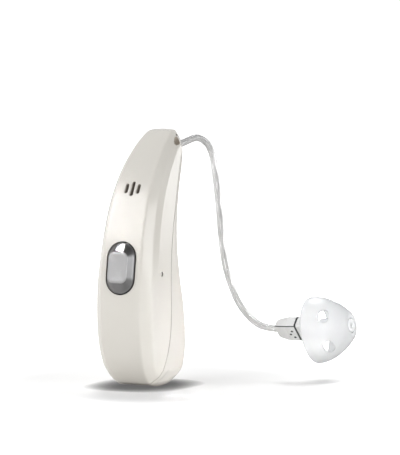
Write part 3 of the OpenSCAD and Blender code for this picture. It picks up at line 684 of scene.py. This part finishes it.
STRAND_R = 0.12
STRAND_AT = 0.142
STRAND_PITCH = 11.0
lead_line = curve(LEAD_ROUTE, 10)
lead_frames = frames_along(lead_line)
strands = []
for turn in (0, math.pi):
    run = 0.0
    strand = []
    for i, (place, side, up) in enumerate(lead_frames):
        if i:
            run += (place - lead_frames[i - 1][0]).length
        angle = turn + math.tau * run / STRAND_PITCH
        strand.append(place + (side * math.cos(angle) + up * math.sin(angle)) * STRAND_AT)
    strands.append(strand)

lead = placed_curve("lead_jacket", [lead_line], LEAD_D / 2, JACKET, 7)
conductors = placed_curve("lead_conductors", strands, STRAND_R, CONDUCTOR, 4)
settle(lead, "lead", ["wire_jacket"])
settle(conductors, "lead", ["wire_conductors"])


# The two shells

# The side's second bevel, and the shares of the housing's height between which it appears
BEVEL_L = 1.35
BEVEL_IN = 0.14
BEVEL_OUT = 0.04
BEVEL_SHIFT = 0.08
BEVEL_LOW = 0.40
BEVEL_HIGH = 0.62

# The spine's swell, full from this height up, and the reach of the two softened edges
SPINE_CROWN = 0.10
CROWN_FROM = 2.5
EDGE_SOFT = 0.22
SIDE_SOFT = 0.3

# The rocker and its opening, the microphone slots and the hole for the frame's pin
ROCKER_W = 3.9
ROCKER_L = 6.6
ROCKER_GAP = 0.16
SLOT_W = 0.4
SLOT_L = 2.0
OUTER_SLOT_L = 1.3
SLOT_PITCH = 0.84
PIN_HOLE_R = 0.33

# The scooped inlets of the nose, and the small hole above each
SCOOP_AT = (2.76, 11.2, 31.72)
SCOOP_RISE = 38
SCOOP_R = 0.56
SCOOP_L = 1.12
INLET_AT = (2.447, 11.9, 32.4)
INLET_R = 0.2
INLET_DIP = 35


def outline_rows(steps):
    rows = []
    for row in curve(STATIONS, steps):
        rows.append((
            row[0] * BODY_D, row[1] * BODY_H, row[2] * BODY_D, row[3] * BODY_H,
            row[4] * HALF_W, row[5] * HALF_W,
        ))
    return rows


def shell_profile(reach, spine_w, side_w, middle_w, second, crown, inset, fine):
    """The cross profile from the spine's middle to the side's middle: depth in, distance out.

    second is how much of the side's second bevel shows, from 0 to 1. crown is how far the spine
    swells at its middle.
    """
    edge = (0.0, spine_w - inset * SPINE_INSET)
    cut = min(CHAMFER, CHAMFER_LIMIT * reach)
    corner = (cut + second * BEVEL_SHIFT, side_w - inset - second * BEVEL_IN)
    middle = (reach, middle_w - inset + SIDE_CROWN)
    run = reach - cut

    def side(share):
        return (cut + run * share, side_w - inset + (middle[1] - side_w + inset) * (1 - (1 - share) ** 2))

    if not fine:
        return [(0.0, 0.0), edge, corner, side(0.5), middle]
    spine = [
        (-crown * (1 - share * share), edge[1] * share) for share in (0, 0.25, 0.5, 0.7, 0.86)
    ]
    slope = 2 * crown / edge[1] * EDGE_SOFT
    spine_end = (edge[0] - slope, edge[1] - EDGE_SOFT)
    length = math.dist(edge, corner)
    chamfer_start = between(edge, corner, EDGE_SOFT / length)
    chamfer_end = between(corner, edge, SIDE_SOFT / length)
    end_share = min(BEVEL_L / run, 0.62)
    bevel_end = side(end_share)
    bevel_end = (bevel_end[0], bevel_end[1] + second * BEVEL_OUT)
    beyond = side(min(end_share + 0.06, 0.8))
    bevel_start = between(corner, bevel_end, SIDE_SOFT / math.dist(corner, bevel_end))
    soft_end = between(bevel_end, corner, 0.16)
    rest = [side(beyond_share) for beyond_share in (0.74, 0.83, 0.92, 1.0)]
    return [
        *spine, *bend(spine_end, edge, chamfer_start, 4), between(edge, corner, 0.5),
        *bend(chamfer_end, corner, bevel_start, 4), between(corner, bevel_end, 0.5),
        *bend(soft_end, bevel_end, beyond, 3), *rest,
    ]


def second_bevel(height):
    """How much of the second bevel shows at a share of the housing's height."""
    share = min(max((height / BODY_H - BEVEL_LOW) / (BEVEL_HIGH - BEVEL_LOW), 0), 1)
    return share * share * (3 - 2 * share)


def housing(inset, steps, fine):
    """The housing as a closed skin, drawn in or not, from one side's middle line to the other."""
    rows = outline_rows(steps)
    last = len(rows) - 1
    low, high = MIDDLE_FIRST * steps, MIDDLE_LAST * steps
    columns = []
    for k in range(2 * last):
        number = k if k <= last else 2 * last - k
        row = rows[number]
        held = rows[min(max(number, low), high)]
        point = Vector((row[0], row[1])) if k <= last else Vector((row[2], row[3]))
        target = Vector(((held[0] + held[2]) / 2, (held[1] + held[3]) / 2))
        inward = (target - point).normalized()
        point = point + inward * inset
        reach = (target - point).length
        second = second_bevel(point.y)
        crown = SPINE_CROWN * min(max(point.y, 0) / CROWN_FROM, 1)
        half = shell_profile(reach, row[5], row[4], held[4], second, crown, inset, fine)
        column = [(-x, depth) for depth, x in reversed(half)]
        column += [(x, depth) for depth, x in half[1:]]
        columns.append([
            Vector((x, point.x + inward.x * depth, point.y + inward.y * depth)) for x, depth in column
        ])
    return loft([[column[i] for column in columns] for i in range(len(columns[0]))], close=False)


def front_space(gap):
    """Everything in front of the parting line, as a closed block."""
    line = [(y * BODY_D - gap, z * BODY_H) for y, z in curve(PARTING, 6)]
    corners = [*line, (-BODY_D, -BODY_H / 2), (-BODY_D, 2 * BODY_H)]
    bm = bmesh.new()
    face = bm.faces.new([bm.verts.new((-BODY_W, y, z)) for y, z in corners])
    grown = bmesh.ops.extrude_face_region(bm, geom=[face])["geom"]
    verts = [item for item in grown if isinstance(item, bmesh.types.BMVert)]
    bmesh.ops.translate(bm, vec=(2 * BODY_W, 0, 0), verts=verts)
    return tidy(bm)


def round_bar(radius, start, end, steps=24):
    return turned([(0, start), (radius, start), (radius, end), (0, end)], steps)


def rocker_opening():
    width, length = ROCKER_W + 2 * ROCKER_GAP, ROCKER_L + 2 * ROCKER_GAP
    return moved(loft([
        stadium(width, length, -1.6), stadium(width, length, -0.02),
        stadium(width + 0.5, length + 0.5, 0.23), stadium(width + 0.5, length + 0.5, 1.6),
    ]), AT_ROCKER)


def slot_cutters():
    made = []
    for i in (-1, 0, 1):
        length = OUTER_SLOT_L if i else SLOT_L
        bar = loft([
            stadium(SLOT_W, length, -1.2), stadium(SLOT_W, length, 0.0),
            stadium(SLOT_W + 0.3, length + 0.3, 0.15), stadium(SLOT_W + 0.3, length + 0.3, 1.0),
        ])
        made.append(moved(bar, AT_SLOTS @ Matrix.Translation((i * SLOT_PITCH, 0, 0))))
    return made


def nose_cutters(side):
    """The scooped inlet on one side of the nose, and the small hole at its upper end."""
    scoop = bmesh.new()
    bmesh.ops.create_uvsphere(scoop, u_segments=40, v_segments=24, radius=1)
    for vert in scoop.verts:
        vert.co.x *= SCOOP_R
        vert.co.y *= SCOOP_R
        vert.co.z *= SCOOP_L
    at = Matrix.Translation((side * SCOOP_AT[0], *SCOOP_AT[1:]))
    moved(scoop, at @ Matrix.Rotation(math.radians(SCOOP_RISE - 90), 4, "X"))
    mouth = Matrix.Translation((side * INLET_AT[0], *INLET_AT[1:]))
    dip = Matrix.Rotation(math.radians(-side * (90 + INLET_DIP)), 4, "Y")
    return [tidy(scoop), moved(round_bar(INLET_R, 0.0, 2.0), mouth @ dip)]


def second_finish(made, material, inside):
    """Gives a second material to the faces whose middles, in millimetres, pass a test."""
    made.data.materials.append(material)
    to_mm = TO_SEAT.inverted()
    for face in made.data.polygons:
        if inside(to_mm @ face.center):
            face.material_index = 1


# Paints shade into the scooped inlets: faces inside them take the darker inlet pearl.
def paint_shade_into_inlets(shell):
    def inside(place):
        mirrored = Vector((abs(place.x), place.y, place.z)) - Vector(SCOOP_AT)
        along = Matrix.Rotation(math.radians(90 - SCOOP_RISE), 3, "X") @ mirrored
        share = math.hypot(along.x / SCOOP_R, along.y / SCOOP_R, along.z / SCOOP_L)
        return share < 1.04
    second_finish(shell, INLET_PAINTED_SHADE, inside)


def build_shells():
    skin = housing(0, 8, True)
    hollow = housing(WALL, 4, False)
    walls = combined(skin, hollow, "DIFFERENCE")
    rear_walls = walls.copy()
    front = combined(walls, front_space(SEAM_GAP / 2), "INTERSECT")
    front = combined(front, joined(rocker_opening(), *slot_cutters()), "DIFFERENCE")
    for side in (-1, 1):
        for cutter in nose_cutters(side):
            front = combined(front, cutter, "DIFFERENCE")
    turn = Matrix.Rotation(math.pi / 2, 4, "Y")
    front = combined(front, moved(round_bar(PIN_HOLE_R, -5, 5), AT_FRAME_PIN @ turn), "DIFFERENCE")
    rear = combined(rear_walls, front_space(-SEAM_GAP / 2), "DIFFERENCE")
    mouth = turned([(0, -1.6), (0.86, -1.6), (0.86, 0.0), (1.1, 0.24), (1.1, 1.6), (0, 1.6)], 48)
    rear = combined(rear, moved(mouth, AT_PLUG), "DIFFERENCE")
    shell = piece("shell_front", front, PEARL, "housing", replaces=["front_shell"])
    paint_shade_into_inlets(shell)
    piece("shell_rear", rear, PEARL_REAR, "housing", replaces=["rear_shell"])


build_shells()


# The rocker: a raised pad on a sloping flank, with its neck, boss and feet below

PAD_W = 2.6
PAD_L = 3.85
PAD_R = 0.7
PAD_FACE = 0.94
HINGE_DEPTH = 1.75
FOOT_AT = 2.1


def build_rocker():
    rings = [
        stadium(ROCKER_W - 0.1, ROCKER_L - 0.1, -0.7),
        stadium(ROCKER_W, ROCKER_L, -0.65),
        stadium(ROCKER_W, ROCKER_L, -0.06),
        stadium(ROCKER_W - 0.03, ROCKER_L - 0.03, -0.02),
        stadium(ROCKER_W - 0.1, ROCKER_L - 0.1, 0.0),
        stadium(ROCKER_W * 0.94, ROCKER_L * 0.94, 0.05),
    ]
    low = stadium(ROCKER_W * 0.92, ROCKER_L * 0.92, 0.12)
    high = rounded_ring(PAD_W + 0.16, PAD_L + 0.16, PAD_R + 0.08, 0.93)
    for share in (0, 0.25, 0.5, 0.75, 1):
        rings.append([a.lerp(b, share) for a, b in zip(low, high)])
    rings += [
        rounded_ring(PAD_W + 0.1, PAD_L + 0.1, PAD_R + 0.05, 0.985),
        rounded_ring(PAD_W - 0.02, PAD_L - 0.02, PAD_R, 1.03),
        rounded_ring(PAD_W - 0.16, PAD_L - 0.16, PAD_R - 0.07, 1.05),
        rounded_ring(PAD_W - 0.5, PAD_L - 0.5, PAD_R - 0.2, 1.045),
        rounded_ring(PAD_W - 1.2, PAD_L - 1.2, PAD_R - 0.35, 1.02),
    ]
    button = loft(rings)
    neck = loft([
        rounded_ring(2.4, 5.2, 0.45, -1.5), rounded_ring(2.4, 5.2, 0.45, -0.66),
    ])
    turn = Matrix.Rotation(math.pi / 2, 4, "Y")
    boss = moved(
        turned([(0.33, -1.1), (0.62, -1.1), (0.62, 1.1), (0.33, 1.1), (0.33, -1.1)], 32),
        Matrix.Translation((0, 0, -HINGE_DEPTH)) @ turn,
    )
    feet = [
        moved(turned([(0, -2.05), (0.36, -2.05), (0.45, -1.96), (0.45, -1.46), (0, -1.46)], 24),
              Matrix.Translation((0, side * FOOT_AT, 0)))
        for side in (-1, 1)
    ]
    cap = piece(
        "rocker_cap", joined(button, neck, boss, *feet), ROCKER_GREY, "rocker",
        place=AT_ROCKER, replaces=["rocker_button"],
    )
    to_rocker = AT_ROCKER.inverted()
    second_finish(cap, ROCKER_PAD, lambda place: (to_rocker @ place).z > PAD_FACE)


build_rocker()


# The receiver and its boot

RECEIVER_W = 3.1
RECEIVER_T = 1.95
CASE_WALL = 0.25
CASE_FROM = 1.72
CASE_TO = 3.12
FRONT_FROM = 3.32
FRONT_TO = 5.62
SEAM_AT = 0.42
SEAM_T = 0.14
CASE_DOTS = [(2.53, 0.44), (2.18, -0.14), (2.60, -0.72)]
DOT_R = 0.17
DOT_DEEP = 0.12
ROLL = Matrix.Rotation(math.radians(44), 3, "X")


def case_ring(along, grow=0.0, steps=6):
    """The receiver's rolled cross-section at a place along it."""
    corners = [
        (RECEIVER_T / 2, RECEIVER_W / 2, 0.75), (-RECEIVER_T / 2, RECEIVER_W / 2, 0.28),
        (-RECEIVER_T / 2, -RECEIVER_W / 2, 0.28), (RECEIVER_T / 2, -RECEIVER_W / 2, 0.28),
    ]
    places = []
    for number, (y, z, radius) in enumerate(corners):
        radius = max(radius + grow, 0.05)
        y += grow * math.copysign(1, y)
        z += grow * math.copysign(1, z)
        centre = (y - math.copysign(radius, y), z - math.copysign(radius, z))
        for i in range(steps):
            angle = math.radians(90 * (number + i / (steps - 1)))
            places.append(ROLL @ Vector((
                0, centre[0] + radius * math.cos(angle), centre[1] + radius * math.sin(angle)
            )) + Vector((along, 0, 0)))
    return places


def round_ring_like(places, radius, along):
    """A circle whose points answer those of a case ring."""
    made = []
    for p in places:
        flat = Vector((0, p.y, p.z)).normalized() * radius
        made.append(Vector((along, flat.y, flat.z)))
    return made


def block(low, high):
    bm = bmesh.new()
    bmesh.ops.create_cube(bm, size=1)
    size = [b - a for a, b in zip(low, high)]
    centre = [(a + b) / 2 for a, b in zip(low, high)]
    return moved(bm, Matrix.Translation(centre) @ Matrix.Diagonal((*size, 1)))


def case_rings(start, end, soft=0.07):
    return [
        case_ring(start, -soft), case_ring(start + soft * 0.3, -soft * 0.3),
        case_ring(start + soft), case_ring(end - soft),
        case_ring(end - soft * 0.3, -soft * 0.3), case_ring(end, -soft),
    ]


def build_receiver():
    whole = case_ring(0)
    boot_rings = [round_ring_like(whole, 0.47, 0.0), round_ring_like(whole, 0.84, 0.0),
                  round_ring_like(whole, 0.98, 0.06)]
    for share in (0.2, 0.4, 0.6, 0.8, 1.0):
        round_r = 1.02 + 0.28 * share
        blend = share ** 0.5
        circle = round_ring_like(whole, round_r, 1.35 * share)
        square = case_ring(1.35 * share, -0.22 * (1 - share) - 0.06)
        boot_rings.append([a.lerp(b, blend) for a, b in zip(circle, square)])
    boot_rings += [case_ring(1.5, -0.06), case_ring(1.66, -0.06), case_ring(1.7, -0.1)]
    boot = loft(boot_rings)
    for height in (SEAM_AT, SEAM_AT - SEAM_T):
        bmesh.ops.bisect_plane(
            boot, geom=[*boot.verts, *boot.edges, *boot.faces], plane_co=(0, 0, height),
            plane_no=(0, 0, 1),
        )
    boot = piece("boot", boot, BOOT, "lead", place=AT_RECEIVER,
                 replaces=["receiver_boot"])
    to_receiver = AT_RECEIVER.inverted()
    second_finish(boot, DARK_JOINT_AND_HOLE_SHADE, lambda place: (
        SEAM_AT - SEAM_T < (to_receiver @ place).z < SEAM_AT and (to_receiver @ place).x > 0.02
    ))

    def hollow_case():
        return combined(
            loft(case_rings(CASE_FROM, CASE_TO)),
            loft([case_ring(CASE_FROM + CASE_WALL, -CASE_WALL), case_ring(CASE_TO + 0.3, -CASE_WALL)]),
            "DIFFERENCE",
        )

    top = block((1, -4, SEAM_AT), (6, 4, 6))
    low = block((1, -4, -6), (6, 4, SEAM_AT - SEAM_T))
    piece("case_upper", combined(hollow_case(), top, "INTERSECT"), CASE, "lead",
          place=AT_RECEIVER, replaces=["receiver_upper_shell"])
    lower = combined(hollow_case(), low, "INTERSECT")
    dots = [
        ROLL.to_4x4() @ Matrix.Translation((along, -RECEIVER_T / 2, across))
        @ Matrix.Rotation(math.pi / 2, 4, "X")
        for along, across in CASE_DOTS
    ]
    for at in dots:
        lower = combined(lower, moved(round_bar(DOT_R, -DOT_DEEP, 0.3, 20), at), "DIFFERENCE")
    lower = piece("case_lower", lower, CASE, "lead", place=AT_RECEIVER,
                  replaces=["receiver_lower_shell"])
    to_dots = [(AT_RECEIVER @ at).inverted() for at in dots]

    def in_shaded_dot(place):
        seen = [to_dot @ place for to_dot in to_dots]
        return any(
            math.hypot(p.x, p.y) < DOT_R * 1.02 and -DOT_DEEP * 1.1 < p.z < -0.01 for p in seen
        )

    # Painted shade: the faces inside the three dot holes take the dark joint colour.
    second_finish(lower, DARK_JOINT_AND_HOLE_SHADE, in_shaded_dot)
    front = combined(
        loft(case_rings(FRONT_FROM, FRONT_TO, 0.12)),
        loft([case_ring(FRONT_FROM - 0.3, -CASE_WALL), case_ring(FRONT_TO - CASE_WALL, -CASE_WALL)]),
        "DIFFERENCE",
    )
    piece("case_front", front, CASE, "lead", place=AT_RECEIVER,
          replaces=["receiver_front_shell"])


build_receiver()


# The dome, the nozzle and the wax guard

DOME_L = 5.45
RIM_R = 4.35
TIP_R = 1.62
BELL_POWER = 2.1
SKIRT_T = 0.32
DOME_BORE = 1.0
VENTS = 5
VENT_W = 1.3
VENT_L = 1.9
VENT_HEIGHT = 3.0
VENT_TURN = 23


def bell(height):
    share = min(max(height / DOME_L, 0), 1)
    return TIP_R + (RIM_R - TIP_R) * (1 - share ** BELL_POWER)


def build_dome():
    outer = [(bell(h * DOME_L / 40), h * DOME_L / 40) for h in range(2, 39)]
    inner_top = 4.45
    inner = [(bell(h * inner_top / 30) - SKIRT_T, h * inner_top / 30) for h in range(2, 30)]
    rim = [
        (RIM_R - SKIRT_T + 0.02, 0.2), (RIM_R - SKIRT_T + 0.06, 0.08), (RIM_R - 0.16, 0.0),
        (RIM_R - 0.05, 0.06), (RIM_R - 0.005, 0.16),
    ]
    tip = [(TIP_R + 0.05, DOME_L - 0.12), (TIP_R - 0.12, DOME_L - 0.02), (TIP_R - 0.3, DOME_L)]
    core = [
        (DOME_BORE + 0.05, DOME_L), (DOME_BORE, DOME_L - 0.06), (DOME_BORE, 1.15),
        (DOME_BORE + 0.1, 1.1), (DOME_BORE + 0.26, 1.1), (DOME_BORE + 0.36, 1.2),
        (DOME_BORE + 0.36, 4.0), (DOME_BORE + 0.5, 4.2),
    ]
    profile = [*rim, *outer, *tip, *core, *reversed(inner)]
    skirt = turned([*profile, profile[0]], 96)
    for k in range(VENTS):
        hole = loft([stadium(VENT_W, VENT_L, 1.75), stadium(VENT_W, VENT_L, 6)])
        at = (
            Matrix.Rotation(math.radians(VENT_TURN + 360 / VENTS * k), 4, "Z")
            @ Matrix.Translation((0, 0, VENT_HEIGHT)) @ Matrix.Rotation(math.pi / 2, 4, "Y")
        )
        skirt = combined(skirt, moved(hole, at), "DIFFERENCE")
    piece("dome_bell", skirt, SILICONE, "dome", place=AT_DOME, replaces=["ear_dome"])
    nozzle = turned([
        (0, 0.95), (0.88, 0.95), (0.95, 1.02), (0.95, 5.1), (0.9, 5.17), (0.6, 5.17), (0.6, 1.7),
        (0, 1.7),
    ], 48)
    piece("nozzle", nozzle, CASE, "lead", place=AT_DOME,
          replaces=["receiver_nozzle"])
    guard = turned([
        (0.3, 4.33), (0.5, 4.33), (0.55, 4.38), (0.55, 5.23), (0.84, 5.23), (0.88, 5.27),
        (0.88, 5.4), (0.83, 5.45), (0.42, 5.45), (0.3, 5.36), (0.3, 4.33),
    ], 48)
    piece("guard", guard, GUARD, "guard", place=AT_DOME, replaces=["wax_guard"])


build_dome()


# Finishes of the CAD nodes that stay

NODE_FINISHES = {
    "button_seal": SEAL_DARK, "rocker_pin": STEEL, "upper_switch": SWITCH_STEEL,
    "lower_switch": SWITCH_STEEL, "circuit_board": BOARD, "sound_processor": CHIP,
    "radio_chip": CHIP, "inner_frame": FRAME, "frame_pin": PIN_PALE, "battery_cell": CELL,
    "battery_tabs": GOLD, "charging_coil": COPPER, "coil_ferrite": CHIP, "antenna_strip": COPPER,
    "flex_tail": COPPER, "rear_microphone": SWITCH_STEEL, "rear_mic_screen": SCREEN,
    "front_microphone": SWITCH_STEEL, "front_mic_screen": SCREEN, "receiver_socket": CHIP,
    "socket_contacts": GOLD, "lead_plug": PLUG, "plug_contacts": GOLD, "receiver_gasket": DARK_JOINT_AND_HOLE_SHADE,
    "receiver_driver": SWITCH_STEEL,
}
for node, finish in NODE_FINISHES.items():
    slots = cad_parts[node].material_slots
    if not slots:
        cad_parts[node].data.materials.append(finish)
    for slot in slots:
        slot.material = finish


# Floor, world and lamps

# The floor's size, the reach and fall-off of the contact shadow painted into its colour, and its glow in
# reflections.
FLOOR_R = 4
PAINTED_SHADOW_REACH = 0.0038
PAINTED_SHADOW_FALL = 4.0
FLOOR_GLOSS = 0.1


def light_paths(nodes, links):
    """Rays that see the stage as it is seen: from the camera, mirrored, or through a clear piece."""
    path = nodes.new("ShaderNodeLightPath")
    clear = maths(nodes, links, "MULTIPLY", path.outputs["Is Transmission Ray"],
                  maths(nodes, links, "LESS_THAN", path.outputs["Glossy Depth"], 0.5))
    seen = maths(nodes, links, "MAXIMUM", path.outputs["Is Camera Ray"], clear)
    return seen, path.outputs["Is Glossy Ray"]


def ranged(nodes, links, value, low, high, at_low, at_high, smooth=False):
    made = nodes.new("ShaderNodeMapRange")
    if smooth:
        made.interpolation_type = "SMOOTHSTEP"
    socket_values(made, {"From Min": low, "From Max": high, "To Min": at_low, "To Max": at_high})
    links.new(value, made.inputs["Value"])
    return made.outputs["Result"]


def build_floor():
    bm = bmesh.new()
    bmesh.ops.create_circle(bm, cap_ends=True, segments=96, radius=FLOOR_R)
    bmesh.ops.translate(bm, vec=(0, 0, FLOOR_Z), verts=bm.verts)
    floor = mesh_object("floor", bm)
    material, nodes, links, shader, place = start_material("floor_white_painted_shadow")
    nodes.remove(shader)
    output = next(n for n in nodes if n.type == "OUTPUT_MATERIAL")
    matt = nodes.new("ShaderNodeBsdfDiffuse")
    glow = nodes.new("ShaderNodeEmission")
    seen, mirrored = light_paths(nodes, links)
    # Painted contact shadow: for the camera the floor's colour darkens where ambient occlusion finds the
    # housing close by.
    contact_ao = nodes.new("ShaderNodeAmbientOcclusion")
    contact_ao.samples = 16
    contact_ao.inputs["Distance"].default_value = PAINTED_SHADOW_REACH
    open_share = maths(nodes, links, "POWER", contact_ao.outputs["AO"], PAINTED_SHADOW_FALL)
    reach = nodes.new("ShaderNodeVectorMath")
    reach.operation = "LENGTH"
    links.new(place, reach.inputs[0])
    distance = reach.outputs["Value"]
    # For the camera the floor glows, faintly near the seat and fully from 34 mm out; this painted light
    # also lightens the shadows cast further out, as the dome's.
    camera_glow = ranged(nodes, links, distance, 0.024, 0.034, 0.14, 0.9, smooth=True)
    shade = mixed(nodes, links, open_share, (0.02, 0.02, 0.02, 1), (0.88, 0.88, 0.88, 1))
    links.new(mixed(nodes, links, seen, colour(226, 225, 223), shade), matt.inputs["Color"])
    to_camera = maths(nodes, links, "MULTIPLY", camera_glow, seen)
    to_mirror = maths(nodes, links, "MULTIPLY", mirrored, FLOOR_GLOSS)
    links.new(maths(nodes, links, "ADD", to_camera, to_mirror), glow.inputs["Strength"])
    both = nodes.new("ShaderNodeAddShader")
    links.new(matt.outputs[0], both.inputs[0])
    links.new(glow.outputs[0], both.inputs[1])
    links.new(both.outputs[0], output.inputs["Surface"])
    floor.data.materials.append(material)


def build_world():
    world = bpy.data.worlds.new("studio")
    bpy.context.scene.world = world
    world.use_nodes = True
    nodes, links = world.node_tree.nodes, world.node_tree.links
    sky = next(n for n in nodes if n.type == "BACKGROUND")
    way = nodes.new("ShaderNodeTexCoord").outputs["Generated"]
    parts = nodes.new("ShaderNodeSeparateXYZ")
    links.new(way, parts.inputs[0])
    height = ranged(nodes, links, parts.outputs["Z"], 0.05, 0.8, 0.72, 0.16)
    seen, _ = light_paths(nodes, links)
    strength = nodes.new("ShaderNodeMix")
    links.new(seen, strength.inputs[0])
    links.new(height, strength.inputs[2])
    strength.inputs[3].default_value = 1.0
    links.new(strength.outputs[0], sky.inputs["Strength"])
    sky.inputs["Color"].default_value = (1, 1, 1, 1)


def lamp(name, azimuth, elevation, distance, size, power, aim=(4, 6, 17), mirrored=True, beam=180):
    """A soft lamp aimed at a place on the housing. Angles and its beam are in degrees."""
    data = bpy.data.lights.new(name, "AREA")
    data.spread = math.radians(beam)
    data.shape = "RECTANGLE"
    data.size, data.size_y = size
    data.energy = power
    made = bpy.data.objects.new(name, data)
    bpy.context.collection.objects.link(made)
    a, e = math.radians(azimuth), math.radians(elevation)
    out = Vector((math.sin(a) * math.cos(e), -math.cos(a) * math.cos(e), math.sin(e)))
    made.location = TO_SEAT @ Vector(aim) + out * distance
    made.visible_glossy = mirrored
    made.rotation_mode = "QUATERNION"
    made.rotation_quaternion = (-out).to_track_quat("-Z", "Y")


build_floor()
build_world()
lamp("front_high", -31, 33, 0.30, (0.22, 0.18), 0.44)
lamp("right_front", 83, 1, 0.34, (0.20, 0.30), 0.62)
lamp("right_back", 155, -2, 0.30, (0.14, 0.18), 0.15)
lamp("left_back", -118, 14, 0.30, (0.16, 0.22), 0.07)
lamp("rocker_glint", -87, 63, 0.10, (0.006, 0.006), 0.0001, aim=(0, 0.2, 18.0), beam=5)
lamp("right_low", 86, 2, 0.12, (0.02, 0.02), 0.0004, aim=(4, 8, 3), mirrored=False, beam=8)
lamp("back_top", 207, 50, 0.34, (0.10, 0.10), 0.52, mirrored=False)
lamp("receiver_fill", 30, 24, 0.11, (0.02, 0.02), 0.00035, aim=(17.5, 21, 6), beam=9)
